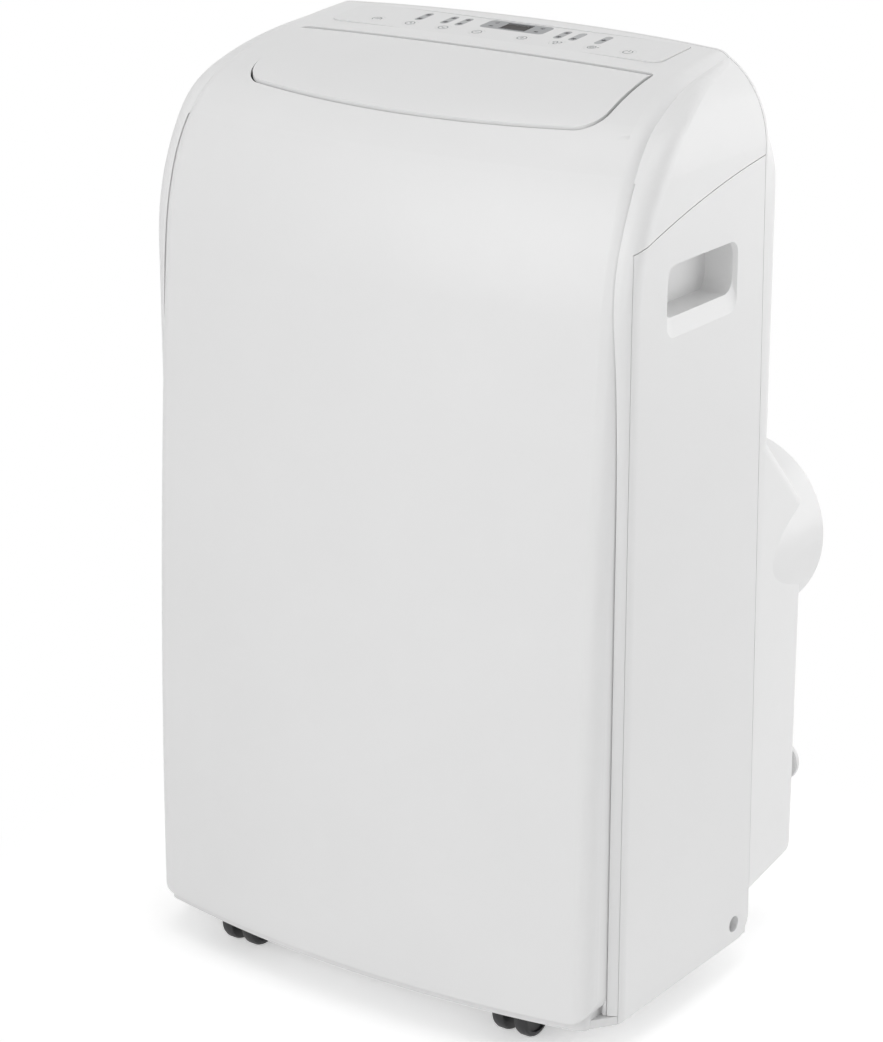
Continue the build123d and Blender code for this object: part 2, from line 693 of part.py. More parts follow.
# Rear cover: shallow behind the evaporator, deep behind the condenser, with the round exhaust hood
rear_wall_inner = REAR_Y - WALL
outlet_plate_y = REAR_Y - WALL - CONDENSER_BACK - COIL_T - COIL_GAP
ring_seat_y = RIM_Y - RING_LENGTH - 1
window_z = HEIGHT - WINDOW_DROP
coil_front = rear_wall_inner - CONDENSER_BACK - COIL_T
coil_bottom = REAR_FLOOR_Z + WALL
coil_top = EXHAUST_Z - EXHAUST_R - 2 * COIL_GAP
slots_left = LOW_GRILLE_MARGIN[0] - HALF
slots_right = HALF - LOW_GRILLE_MARGIN[1]
slots_low = coil_bottom + LOW_GRILLE_EDGE[0]
slots_high = coil_top - LOW_GRILLE_EDGE[1]
slot_rows = int((slots_high - slots_low) / SLOT_PITCH)
slot_w = (slots_right - slots_left - SLOT_RIB) / 2
REAR_SCREWS = [
    (side * (CONDENSER_HALF - REAR_SCREW_IN), z)
    for side in (-1, 1)
    for z in (coil_bottom + REAR_SCREW_UP, coil_top - REAR_SCREW_UP)
]
rear_inside = rear_block(WALL)

with BuildPart() as hood_root:
    with BuildSketch(upright(outlet_plate_y + SHEET)):
        with Locations((EXHAUST_X, EXHAUST_Z)):
            Circle(EXHAUST_R)
    extrude(amount=outlet_plate_y + SHEET - REAR_TAPER_Y)
    add(rear_inside, mode=Mode.SUBTRACT)

with BuildPart() as seam_band:
    add(cabinet_block(0, REAR_SHOULDER_Z))
    add(face_block(0, REAR_SHOULDER_Z))
    add(front_zone(SEAM + SHEET), mode=Mode.INTERSECT)

with BuildPart() as rear_cover:
    add(rear_block(0))
    add(seam_band.part)
    add(rear_inside, mode=Mode.SUBTRACT)
    add(front_zone(SEAM), mode=Mode.SUBTRACT)
    add(hood_root.part)
    with BuildSketch(upright(RIM_Y)):
        with Locations((EXHAUST_X, EXHAUST_Z)):
            Circle(EXHAUST_R)
    extrude(amount=RIM_Y - outlet_plate_y)
    with BuildSketch(upright(RIM_Y)):
        with Locations((EXHAUST_X, EXHAUST_Z)):
            Circle(EXHAUST_BORE_R)
    extrude(amount=RIM_Y - ring_seat_y, mode=Mode.SUBTRACT)
    with BuildSketch(upright(RIM_Y)):
        with Locations((EXHAUST_X, EXHAUST_Z)):
            Circle(EXHAUST_BORE_R - RING_T - RING_LIP)
    extrude(amount=RIM_Y, mode=Mode.SUBTRACT)
    with BuildSketch(upright(REAR_HIGH_Y)):
        with Locations((0, window_z)):
            Rectangle(WINDOW_WIDTH, WINDOW_HEIGHT)
    extrude(amount=2 * WALL, mode=Mode.SUBTRACT)
    with BuildSketch(upright(REAR_Y)):
        with Locations(((slots_left + slots_right) / 2, (slots_low + slots_high) / 2)):
            with GridLocations(slot_w + SLOT_RIB, SLOT_PITCH, 2, slot_rows):
                Rectangle(slot_w, SLOT_H)
        with Locations(*REAR_SCREWS):
            Circle(SCREW_R + KEY_GAP)
        with Locations((GLAND_X, GLAND_Z)):
            Circle(GLAND_R)
    extrude(amount=2 * WALL, mode=Mode.SUBTRACT)
    with BuildSketch(upright(REAR_Y)):
        with Locations((DRAIN_X, DRAIN_HIGH_Z), (DRAIN_X, DRAIN_LOW_Z)):
            Circle(DRAIN_R)
    extrude(amount=-DRAIN_LENGTH)
    with BuildSketch(upright(REAR_Y + DRAIN_LENGTH)):
        with Locations((DRAIN_X, DRAIN_HIGH_Z), (DRAIN_X, DRAIN_LOW_Z)):
            Circle(DRAIN_BORE_R)
    extrude(amount=DRAIN_LENGTH + 2 * WALL, mode=Mode.SUBTRACT)
save(rear_cover, "rear_cover")

# Exhaust collar ring, seated in the hood for the hose end
with BuildPart() as exhaust_ring:
    with BuildSketch(upright(RIM_Y - 1)):
        with Locations((EXHAUST_X, EXHAUST_Z)):
            Circle(EXHAUST_BORE_R - KEY_GAP)
            Circle(EXHAUST_BORE_R - RING_T, mode=Mode.SUBTRACT)
    extrude(amount=RING_LENGTH)
save(exhaust_ring, "exhaust_ring")

# Upper intake grille and the filter behind it, pulled off towards the back
with BuildPart() as intake_grille:
    with BuildSketch(upright(REAR_HIGH_Y)):
        with Locations((0, window_z)):
            RectangleRounded(WINDOW_WIDTH + 2 * GRILLE_LIP, WINDOW_HEIGHT + 2 * GRILLE_LIP, GRILLE_LIP)
            with GridLocations(WINDOW_WIDTH / 3, SLOT_PITCH, 3, int(WINDOW_HEIGHT / SLOT_PITCH)):
                Rectangle(WINDOW_WIDTH / 3 - SLOT_RIB, SLOT_H, mode=Mode.SUBTRACT)
    extrude(amount=-GRILLE_T)
save(intake_grille, "upper_intake_grille")

filter_w = WINDOW_WIDTH - 4 * FIT_GAP
filter_h = WINDOW_HEIGHT - 4 * FIT_GAP
with BuildPart() as air_filter:
    with BuildSketch(upright(REAR_HIGH_Y)):
        with Locations((0, window_z)):
            Rectangle(filter_w, filter_h)
            with GridLocations(filter_w / 4, filter_h / 3, 4, 3):
                Rectangle(filter_w / 4 - FILTER_BAR, filter_h / 3 - FILTER_BAR, mode=Mode.SUBTRACT)
    extrude(amount=FILTER_T)
    with BuildSketch(upright(REAR_HIGH_Y - FILTER_T / 2)):
        with Locations((0, window_z)):
            Rectangle(filter_w, filter_h)
    extrude(amount=FILTER_MESH_T)
save(air_filter, "air_filter")

# Fittings on the back: cord hook, drain cap and plug, cord gland, screws
with BuildPart() as cord_hook:
    with BuildSketch(upright(REAR_Y)):
        with Locations((HOOK_X, HOOK_Z)):
            Circle(HOOK_STEM_R)
    extrude(amount=HOOK_T - REAR_LOW)
    with BuildSketch(upright(RIM_Y - HOOK_T)):
        with Locations((HOOK_X, HOOK_Z)):
            Circle(HOOK_R)
    extrude(amount=-HOOK_T)
    fillet(cord_hook.faces().sort_by(Axis.Y)[-1].edges(), HOOK_T / 3)
save(cord_hook, "cord_hook")

cap_depth = DRAIN_LENGTH - 1
for name, z in (("upper_drain_cap", DRAIN_HIGH_Z), ("lower_drain_cap", DRAIN_LOW_Z)):
    with BuildPart() as drain_cap:
        with BuildSketch(upright(REAR_Y + DRAIN_LENGTH - cap_depth)):
            with Locations((DRAIN_X, z)):
                Circle(DRAIN_R + CAP_GAP + CAP_T)
                Circle(DRAIN_R + CAP_GAP, mode=Mode.SUBTRACT)
        extrude(amount=-cap_depth)
        with BuildSketch(upright(REAR_Y + DRAIN_LENGTH)):
            with Locations((DRAIN_X, z)):
                Circle(DRAIN_R + CAP_GAP + CAP_T)
        extrude(amount=-CAP_T)
    save(drain_cap, name)

with BuildPart() as cord_gland:
    with BuildSketch(upright(REAR_Y)):
        with Locations((GLAND_X, GLAND_Z)):
            Circle(GLAND_FLANGE_R)
            Circle(GLAND_BORE_R, mode=Mode.SUBTRACT)
    extrude(amount=-GLAND_FLANGE_T)
    with BuildSketch(upright(REAR_Y)):
        with Locations((GLAND_X, GLAND_Z)):
            Circle(GLAND_R)
            Circle(GLAND_BORE_R, mode=Mode.SUBTRACT)
    extrude(amount=2 * WALL)
save(cord_gland, "cord_gland")

with BuildPart() as rear_screws:
    with BuildSketch(upright(REAR_Y)):
        with Locations(*REAR_SCREWS):
            Circle(SCREW_HEAD_R)
    extrude(amount=-SCREW_HEAD_T)
    with BuildSketch(upright(REAR_Y)):
        with Locations(*REAR_SCREWS):
            Circle(SCREW_R)
    extrude(amount=SCREW_LENGTH)
save(rear_screws, "rear_screws")

with BuildPart() as side_screws:
    with BuildSketch(side_wall(SCREW_SEAT)):
        with Locations((SIDE_SCREW_Y, SIDE_SCREW_Z)):
            Circle(SCREW_HEAD_R)
    extrude(amount=SCREW_HEAD_T)
    with BuildSketch(side_wall(SCREW_SEAT)):
        with Locations((SIDE_SCREW_Y, SIDE_SCREW_Z)):
            Circle(SCREW_R)
    extrude(amount=-SCREW_LENGTH)
    mirror(about=Plane.YZ)
save(side_screws, "side_screws")

# Base pan with a foot plate under the front, caster wells, stem sockets and the side screws' posts
pan_out = cabinet_block(WALL + FIT_GAP, 0) + face_block(BASE_INSET, 0)
pan_in = cabinet_block(WALL + FIT_GAP + BASE_T, 0) + face_block(BASE_INSET + BASE_T, 0)
CASTERS = {
    "front_left": (-CASTER_X, CASTER_FRONT_Y),
    "front_right": (CASTER_X, CASTER_FRONT_Y),
    "rear_left": (-CASTER_X, CASTER_REAR_Y),
    "rear_right": (CASTER_X, CASTER_REAR_Y),
}
COMPRESSOR_FEET = [
    (COMPRESSOR_X + MOUNT_CIRCLE * cos(radians(a)), COMPRESSOR_Y + MOUNT_CIRCLE * sin(radians(a)))
    for a in (30, 150, 270)
]
PAN_Z = FLOOR_Z + BASE_T

with BuildPart() as pan_hollow:
    with BuildSketch(level(PAN_Z)):
        Rectangle(WIDTH, 2 * DEPTH)
    extrude(amount=BASE_RIM_Z)
    add(pan_in, mode=Mode.INTERSECT)
    add(front_zone(-BASE_T), mode=Mode.INTERSECT)

with BuildSketch(level(FLOOR_Z)) as bow_plan:
    with Locations((0, FACE_AXIS_Y)):
        Circle(FACE_BOW_R - BASE_INSET)
    Rectangle(2 * (FACE_HALF - BASE_INSET), DEPTH, mode=Mode.INTERSECT)
    fillet(bow_plan.vertices().group_by(Axis.Y)[0], FACE_EDGE_R)

with BuildSketch(level(FLOOR_Z)) as foot_plan:
    with Locations((0, PLANE_Y)):
        Rectangle(WIDTH, DEPTH / 2, align=(Align.CENTER, Align.MIN))
    fillet(foot_plan.vertices().group_by(Axis.Y)[0], EDGE_R)
    add(bow_plan.sketch)
    make_hull()

with BuildPart() as foot_plate:
    extrude(foot_plan.sketch, amount=FRONT_EDGE_Z - SEAM - FLOOR_Z)
    add(side_zone(0), mode=Mode.SUBTRACT)

with BuildPart() as base_pan:
    with BuildSketch(level(FLOOR_Z)):
        Rectangle(WIDTH, 2 * DEPTH)
    extrude(amount=BASE_RIM_Z - FLOOR_Z)
    add(pan_out, mode=Mode.INTERSECT)
    add(front_drum, mode=Mode.INTERSECT)
    add(foot_plate.part)
    add(pan_hollow.part, mode=Mode.SUBTRACT)
    with BuildSketch(level(FLOOR_Z)):
        with Locations(*CASTERS.values()):
            Circle(WELL_R + SHEET)
    extrude(amount=WELL_Z + SHEET - FLOOR_Z)
    with BuildSketch(level(WELL_Z)):
        with Locations(*CASTERS.values()):
            Circle(2 * STEM_R)
    extrude(amount=STEM_LENGTH + SHEET)
    with BuildSketch(level(FLOOR_Z)):
        with Locations(*CASTERS.values()):
            Circle(WELL_R)
    extrude(amount=WELL_Z - FLOOR_Z, mode=Mode.SUBTRACT)
    with BuildSketch(level(WELL_Z)):
        with Locations(*CASTERS.values()):
            Circle(STEM_R + RUN_GAP)
    extrude(amount=STEM_LENGTH, mode=Mode.SUBTRACT)
    for side in (-1, 1):
        with BuildSketch(side_wall(side * HALF)):
            with Locations((SIDE_SCREW_Y, SIDE_SCREW_Z)):
                Circle(SCREW_POCKET_R + SHEET + SEAM)
        extrude(amount=-side * (HALF - CUP_FLOOR), mode=Mode.SUBTRACT)
        with BuildSketch(level(PAN_Z)):
            with Locations((side * (CUP_FLOOR - SCREW_POCKET_DEPTH), SIDE_SCREW_Y)):
                Rectangle(2 * SCREW_POCKET_DEPTH, 2 * SCREW_POCKET_R)
        extrude(amount=SIDE_SCREW_Z + SCREW_POCKET_R - PAN_Z)
        with BuildSketch(side_wall(side * CUP_FLOOR)):
            with Locations((SIDE_SCREW_Y, SIDE_SCREW_Z)):
                Circle(SCREW_R)
        extrude(amount=-side * SCREW_LENGTH, mode=Mode.SUBTRACT)
save(base_pan, "base_pan")

# Casters: hood with stem and arm, axle, and a pair of wheels that turn together
hood_top = WELL_Z - HOOD_GAP
hood_low = hood_top - HOOD_T
for name, (x, y) in CASTERS.items():
    with BuildPart() as hood:
        with BuildSketch(level(hood_low)):
            with Locations((x, y)):
                Circle(HOOD_R)
        extrude(amount=HOOD_T)
        with BuildSketch(level(hood_top)):
            with Locations((x, y)):
                Circle(STEM_R)
        extrude(amount=STEM_LENGTH)
        with BuildSketch(side_wall(x)):
            with BuildLine():
                Polyline(
                    (y + HOOD_R / 2, hood_top - HOOD_T / 3),
                    (y - HOOD_R, hood_top - HOOD_T / 3),
                    (y - TRAIL - 2 * AXLE_R, WHEEL_R),
                    (y - TRAIL, WHEEL_R - 2 * AXLE_R),
                    (y - TRAIL + 2 * AXLE_R, WHEEL_R),
                    close=True,
                )
            make_face()
        extrude(amount=WHEEL_GAP / 2 - ARM_GAP, both=True)
        with BuildSketch(side_wall(x)):
            with Locations((y - TRAIL, WHEEL_R)):
                Circle(WHEEL_R + FENDER_GAP + FENDER_T)
                Circle(WHEEL_R + FENDER_GAP, mode=Mode.SUBTRACT)
            with Locations((y - TRAIL, WHEEL_R)):
                Rectangle(4 * WHEEL_R, 1.3 * WHEEL_R, align=(Align.CENTER, Align.MAX), mode=Mode.SUBTRACT)
            with Locations((y - TRAIL, WHEEL_R)):
                Rectangle(4 * WHEEL_R, 0.6 * WHEEL_R, align=(Align.CENTER, Align.MIN), mode=Mode.SUBTRACT)
        extrude(amount=WHEEL_GAP / 2 + WHEEL_W, both=True)
        with BuildSketch(side_wall(x)):
            with Locations((y - TRAIL, WHEEL_R)):
                Circle(AXLE_R)
        extrude(amount=WIDTH, both=True, mode=Mode.SUBTRACT)
    save(hood, f"caster_hood_{name}")
    with BuildPart() as axle:
        with BuildSketch(side_wall(x)):
            with Locations((y - TRAIL, WHEEL_R)):
                Circle(AXLE_R)
        extrude(amount=WHEEL_GAP / 2 + WHEEL_W - AXLE_IN, both=True)
    save(axle, f"caster_axle_{name}")
    with BuildPart() as wheels:
        for side in (-1, 1):
            with BuildSketch(side_wall(x + side * WHEEL_GAP / 2)):
                with Locations((y - TRAIL, WHEEL_R)):
                    Circle(WHEEL_R)
                    Circle(AXLE_R + RUN_GAP, mode=Mode.SUBTRACT)
            extrude(amount=side * WHEEL_W)
    save(wheels, f"caster_wheels_{name}")

# Louver over the outlet: thin curved plate with an ear and a pin at each end
with BuildPart() as ears:
    with BuildSketch(side_wall(LOUVER_HALF - EAR_T)):
        with Locations((HINGE_Y, HINGE_Z)):
            Circle(EAR_W / 2 - EAR_IN)
            Rectangle(EAR_W, 3 * EAR_W, align=(Align.CENTER, Align.MIN))
    extrude(amount=EAR_T - EAR_IN)
    mirror(about=Plane.YZ)

with BuildPart() as louver:
    extrude(louver_outline(0), amount=HEIGHT)
    add(face_block(LOUVER_T - LOUVER_PROUD, 0) - ears.part, mode=Mode.SUBTRACT)
    add(face_block(-LOUVER_PROUD, 0), mode=Mode.INTERSECT)
    for side in (-1, 1):
        with BuildSketch(side_wall(side * (LOUVER_HALF - EAR_IN))):
            with Locations((HINGE_Y, HINGE_Z)):
                Circle(PIN_R)
        extrude(amount=side * PIN_LENGTH)
save(louver, "louver")

# Control panel: overlay, display window, indicator windows, keys and the board below
with BuildPart() as panel:
    with BuildSketch(PANEL_PLANE.offset(-PANEL_T)):
        RectangleRounded(PANEL_WIDTH, PANEL_LENGTH, PANEL_CORNER_R - FIT_GAP)
        with Locations(*KEY_SPOTS):
            Circle(KEY_R + KEY_GAP, mode=Mode.SUBTRACT)
        with Locations((0, DISPLAY_Y)):
            Rectangle(DISPLAY_WIDTH, DISPLAY_LENGTH, mode=Mode.SUBTRACT)
        with Locations(*LAMP_SPOTS):
            SlotOverall(LAMP_LENGTH, LAMP_WIDTH, rotation=90, mode=Mode.SUBTRACT)
    extrude(amount=PANEL_T)
save(panel, "control_panel")

with BuildPart() as display_window:
    with BuildSketch(PANEL_PLANE.offset(-PANEL_T)):
        with Locations((0, DISPLAY_Y)):
            Rectangle(DISPLAY_WIDTH - KEY_GAP, DISPLAY_LENGTH - KEY_GAP)
    extrude(amount=PANEL_T)
save(display_window, "display_window")

with BuildPart() as indicator_windows:
    with BuildSketch(PANEL_PLANE.offset(-PANEL_T)):
        with Locations(*LAMP_SPOTS):
            SlotOverall(LAMP_LENGTH - KEY_GAP, LAMP_WIDTH - KEY_GAP, rotation=90)
    extrude(amount=PANEL_T)
save(indicator_windows, "indicator_windows")

SWITCH_H = BOARD_DROP / 2
for number, spot in enumerate(sorted(KEY_SPOTS), start=1):
    with BuildPart() as key:
        with BuildSketch(PANEL_PLANE.offset(-PANEL_T)):
            with Locations(spot):
                Circle(KEY_R)
        extrude(amount=PANEL_T)
        with BuildSketch(PANEL_PLANE.offset(-PANEL_T)):
            with Locations(spot):
                Circle(KEY_STEM_R)
        extrude(amount=PANEL_T + SWITCH_H + KEY_TRAVEL + KEY_GAP - BOARD_TOP)
    save(key, f"key_{number}")

with BuildPart() as display_board:
    with BuildSketch(PANEL_PLANE.offset(-BOARD_TOP)):
        Rectangle(2 * POST_X + 4 * POST_R, 2 * POST_Y + 2 * POST_R)
    extrude(amount=-BOARD_T)
    with BuildSketch(PANEL_PLANE.offset(-BOARD_TOP)):
        with Locations(*KEY_SPOTS):
            Rectangle(SWITCH_SIZE, SWITCH_SIZE)
        with Locations((0, DISPLAY_Y)):
            Rectangle(DISPLAY_WIDTH, DISPLAY_LENGTH)
        with Locations(*LAMP_SPOTS):
            Rectangle(LAMP_WIDTH, LAMP_LENGTH - LAMP_WIDTH)
    extrude(amount=SWITCH_H)
save(display_board, "display_board")

# Air outlet: neck under the louver, funnel down to the evaporator scroll, guide vanes, louver motor
neck_front = LOUVER_FRONT_Y - LOUVER_GAP
neck_rear = LOUVER_REAR_Y + LOUVER_GAP + DUCT_SWING
scroll_rear = EVAPORATOR_Y - COIL_GAP
scroll_depth = FAN_W + 2 * FAN_CLEAR + 2 * SHEET
scroll_front = scroll_rear - scroll_depth
scroll_r = FAN_R + VOLUTE_STEP + SHEET
scroll_top = NECK_Z - FUNNEL_H
fan_z = TRAY_Z + scroll_r


def duct_section(z, left, right, front, rear, grow):
    """Upright duct's section at height z, enlarged by grow."""
    with BuildSketch(level(z)) as section:
        with Locations(((left + right) / 2, (front + rear) / 2)):
            Rectangle(right - left + 2 * grow, rear - front + 2 * grow)
    return section.sketch


def duct_room(grow):
    """Inside of the funnel and the neck, enlarged by grow."""
    low = (-scroll_r + SHEET, CHIMNEY_RIGHT, scroll_front + SHEET, scroll_rear - SHEET)
    high = (-neck_half, neck_half, neck_front, neck_rear)
    with BuildPart() as room:
        loft([duct_section(scroll_top, *low, grow), duct_section(NECK_Z, *high, grow)])
        extrude(duct_section(NECK_Z, *high, grow), amount=HEIGHT - NECK_Z)
    return room.part


with BuildPart() as outlet_duct:
    add(duct_room(SHEET))
    for side in (-1, 1):
        with BuildSketch(side_wall(side * neck_half)):
            with Locations((HINGE_Y, HINGE_Z)):
                Circle(2 * PIN_R + 1)
        extrude(amount=side * PIN_LENGTH)
    add(duct_room(0), mode=Mode.SUBTRACT)
    with BuildSketch(side_wall(0)):
        with Locations((HINGE_Y, HINGE_Z)):
            Circle(PIN_R + RUN_GAP)
    extrude(amount=WIDTH, both=True, mode=Mode.SUBTRACT)
    add(face_block(WALL + FIT_GAP, 0), mode=Mode.INTERSECT)
save(outlet_duct, "outlet_duct")

vane_pitch = 2 * neck_half / (VANE_COUNT + 1)
vane_y = (neck_front + neck_rear) / 2
with BuildPart() as vanes:
    with BuildSketch(level(NECK_Z + VANE_ROD)):
        with Locations((0, vane_y)):
            with GridLocations(vane_pitch, 1, VANE_COUNT, 1):
                Rectangle(VANE_T, neck_rear - neck_front - 4 * VANE_ROD)
    extrude(amount=VANE_H)
    with BuildSketch(level(NECK_Z + 2 * VANE_ROD)):
        with Locations((0, vane_y)):
            Rectangle(2 * neck_half, VANE_ROD)
    extrude(amount=VANE_ROD)
save(vanes, "outlet_vanes")

motor_x = neck_half + PIN_LENGTH + 1
with BuildPart() as louver_motor:
    with BuildSketch(side_wall(motor_x)):
        with Locations((HINGE_Y, HINGE_Z - 5 * PIN_R)):
            Circle(5 * PIN_R)
    extrude(amount=-motor_x + neck_half + SHEET)
    with BuildSketch(side_wall(0)):
        with Locations((HINGE_Y, HINGE_Z)):
            Circle(2 * PIN_R + 2)
    extrude(amount=WIDTH, mode=Mode.SUBTRACT)
save(louver_motor, "louver_motor")


def fan_wheel(x, z, radius, front, rear, shaft_end):
    """Blower wheel: hub plate, blades and end ring, with its shaft towards the motor."""
    ring_w = 0.16 * radius
    with BuildPart() as wheel:
        with BuildSketch(upright(front + SHEET)):
            with Locations((x, z)):
                Circle(radius)
        extrude(amount=SHEET)
        with BuildSketch(upright(rear)):
            with Locations((x, z)):
                with PolarLocations(radius - ring_w / 2, FAN_BLADES):
                    Rectangle(ring_w - 1, 1.6, rotation=35)
        extrude(amount=rear - front)
        with BuildSketch(upright(rear)):
            with Locations((x, z)):
                Circle(radius)
                Circle(radius - ring_w, mode=Mode.SUBTRACT)
        extrude(amount=SHEET)
        with BuildSketch(upright(front + FAN_W / 2)):
            with Locations((x, z)):
                Circle(HUB_R)
        extrude(amount=FAN_W / 2)
        with BuildSketch(upright(front)):
            with Locations((x, z)):
                Circle(SHAFT_R)
        extrude(amount=front - shaft_end)
    return wheel


def fan_motor(x, z, seat):
    """Round motor with a flange that sits on the scroll's front at depth seat."""
    with BuildPart() as motor:
        with BuildSketch(upright(seat)):
            with Locations((x, z)):
                Circle(MOTOR_FLANGE_R)
        extrude(amount=SHEET)
        with BuildSketch(upright(seat)):
            with Locations((x, z)):
                Circle(MOTOR_R)
        extrude(amount=MOTOR_LENGTH)
        chamfer(motor.faces().sort_by(Axis.Y)[0].edges(), 2 * SHEET)
        with BuildSketch(upright(seat)):
            with Locations((x, z)):
                Circle(SHAFT_R + RUN_GAP)
        extrude(amount=MOTOR_LENGTH / 2, mode=Mode.SUBTRACT)
    return motor


def scroll_housing(outline, inside, x, z, front, inlet_r):
    """Blower housing from its outline and inside, with the inlet at the back and a shaft hole in front."""
    rear = front + scroll_depth
    with BuildPart() as housing:
        extrude(outline, amount=scroll_depth)
        extrude(inside.moved(Location((0, -SHEET, 0))), amount=scroll_depth - 2 * SHEET, mode=Mode.SUBTRACT)
        with BuildSketch(upright(rear)):
            with Locations((x, z)):
                Circle(inlet_r)
        extrude(amount=2 * SHEET, mode=Mode.SUBTRACT)
        with BuildSketch(upright(front + 2 * SHEET)):
            with Locations((x, z)):
                Circle(2 * SHAFT_R)
        extrude(amount=3 * SHEET, mode=Mode.SUBTRACT)
    return housing


# Evaporator side: scroll on the drip tray, blower wheel, motor, coil behind
with BuildSketch(upright(scroll_rear)) as scroll_outline:
    with Locations((0, fan_z)):
        Circle(scroll_r)
    with Locations(((CHIMNEY_RIGHT + SHEET - scroll_r) / 2, (fan_z + scroll_top) / 2)):
        Rectangle(CHIMNEY_RIGHT + SHEET + scroll_r, scroll_top - fan_z)
    with Locations((0, TRAY_Z)):
        with GridLocations(1.2 * scroll_r, 1, 2, 1):
            Rectangle(HUB_R, scroll_r / 2, align=(Align.CENTER, Align.MIN))
with BuildSketch(upright(scroll_rear)) as scroll_inside:
    with Locations((0, fan_z)):
        Circle(scroll_r - SHEET)
    with Locations(((CHIMNEY_RIGHT + SHEET - scroll_r) / 2, (fan_z + scroll_top) / 2)):
        Rectangle(CHIMNEY_RIGHT - SHEET + scroll_r, scroll_top - fan_z)
evaporator_scroll = scroll_housing(
    scroll_outline.sketch, scroll_inside.sketch, 0, fan_z, scroll_front, 0.8 * FAN_R
)
save(evaporator_scroll, "evaporator_scroll")

wheel_front = scroll_front + SHEET + FAN_CLEAR
evaporator_fan = fan_wheel(0, fan_z, FAN_R, wheel_front, wheel_front + FAN_W, scroll_front - SHEET - HUB_R)
save(evaporator_fan, "evaporator_fan")
evaporator_motor = fan_motor(0, fan_z, scroll_front)
save(evaporator_motor, "evaporator_motor")


def coil(front, half, bottom, top, fasten):
    """Heat exchanger: block with fin grooves on both faces between two end plates."""
    fins = int(2 * half / COIL_FIN_PITCH) - 1
    with BuildPart() as block:
        with BuildSketch(level(bottom)):
            with Locations((0, front + COIL_T / 2)):
                Rectangle(2 * half, COIL_T)
                with GridLocations(COIL_FIN_PITCH, COIL_T, fins, 2):
                    Rectangle(COIL_FIN_PITCH / 2, 2 * COIL_FIN_DEPTH, mode=Mode.SUBTRACT)
        extrude(amount=top - bottom)
        if fasten:
            with BuildSketch(upright(front + COIL_T + CONDENSER_BACK)):
                with Locations(*REAR_SCREWS):
                    Circle(2 * SCREW_R + 1)
                    Circle(SCREW_R, mode=Mode.SUBTRACT)
            extrude(amount=CONDENSER_BACK)
            with BuildSketch(upright(front + COIL_T)):
                with Locations(*REAR_SCREWS):
                    Circle(SCREW_R)
            extrude(amount=SCREW_LENGTH, mode=Mode.SUBTRACT)
    return block


evaporator_coil = coil(EVAPORATOR_Y, COIL_HALF, TRAY_Z, HEIGHT - EVAPORATOR_TOP, False)
save(evaporator_coil, "evaporator_coil")

# Drip tray between the upper and the lower half, on the side panels' ledges
tray_half = HALF - WALL - 2 * SHEET
tray_front = PLANE_Y + SIDE_SEAM_IN + 4 * SHEET
tray_rear = EVAPORATOR_Y + COIL_T + 6 * SHEET
TRAY_HOLE = (-COIL_HALF - 2 * PIPE_R, EVAPORATOR_Y + COIL_T / 2)
with BuildPart() as drip_tray:
    with BuildSketch(level(TRAY_Z - TRAY_T)):
        with Locations((0, (tray_front + tray_rear) / 2)):
            Rectangle(2 * tray_half, tray_rear - tray_front)
    extrude(amount=TRAY_T + TRAY_RIM)
    with BuildSketch(level(TRAY_Z)):
        with Locations((0, (tray_front + tray_rear) / 2)):
            Rectangle(2 * tray_half - 2 * SHEET, tray_rear - tray_front - 2 * SHEET)
    extrude(amount=TRAY_RIM, mode=Mode.SUBTRACT)
    with BuildSketch(level(TRAY_Z)):
        with Locations(TRAY_HOLE):
            Circle(PIPE_R + 2)
    extrude(amount=-2 * TRAY_T, mode=Mode.SUBTRACT)
save(drip_tray, "drip_tray")

# Condenser side: coil in the rear cover, scroll that blows into the exhaust hood, blower wheel, motor
condenser_coil = coil(coil_front, CONDENSER_HALF, coil_bottom, coil_top, True)
save(condenser_coil, "condenser_coil")

low_r = CONDENSER_FAN_R + VOLUTE_STEP
box_right = EXHAUST_X + OUTLET_WALL
box_left = EXHAUST_X - OUTLET_WALL
box_top = EXHAUST_Z + OUTLET_WALL
low_front = outlet_plate_y - scroll_depth


def low_scroll(grow):
    """Outline of the condenser scroll and its rise to the exhaust, enlarged by grow."""
    with BuildSketch(upright(outlet_plate_y)) as shape:
        with Locations((CONDENSER_FAN_X, CONDENSER_FAN_Z)):
            Circle(low_r)
        with BuildLine():
            Polyline(
                (CONDENSER_FAN_X + low_r, CONDENSER_FAN_Z),
                (box_right, EXHAUST_Z - OUTLET_WALL),
                (box_right, box_top),
                (box_left, box_top),
                (box_left, CONDENSER_FAN_Z),
                close=True,
            )
        make_face()
        if grow:
            offset(amount=grow, kind=Kind.INTERSECTION)
    return shape.sketch


with BuildSketch(upright(outlet_plate_y)) as low_outline:
    add(low_scroll(SHEET))
    with Locations((CONDENSER_FAN_X, PAN_Z)):
        with GridLocations(low_r / 2, 1, 2, 1):
            Rectangle(HUB_R, CONDENSER_FAN_Z - low_r, align=(Align.CENTER, Align.MIN))
low_housing = scroll_housing(
    low_outline.sketch, low_scroll(0), CONDENSER_FAN_X, CONDENSER_FAN_Z, low_front, 0.8 * CONDENSER_FAN_R
)
with BuildPart() as condenser_scroll:
    add(low_housing.part)
    with BuildSketch(upright(outlet_plate_y)):
        with Locations((EXHAUST_X, EXHAUST_Z)):
            Circle(OUTLET_R)
    extrude(amount=2 * SHEET, mode=Mode.SUBTRACT)
    with BuildSketch(level(0)):
        with Locations((0, DEPTH / 2 + REAR_SEAM_Y - 30 - WALL)):
            Rectangle(WIDTH, DEPTH)
    extrude(amount=REAR_FLOOR_Z + WALL + FIT_GAP, mode=Mode.SUBTRACT)
save(condenser_scroll, "condenser_scroll")

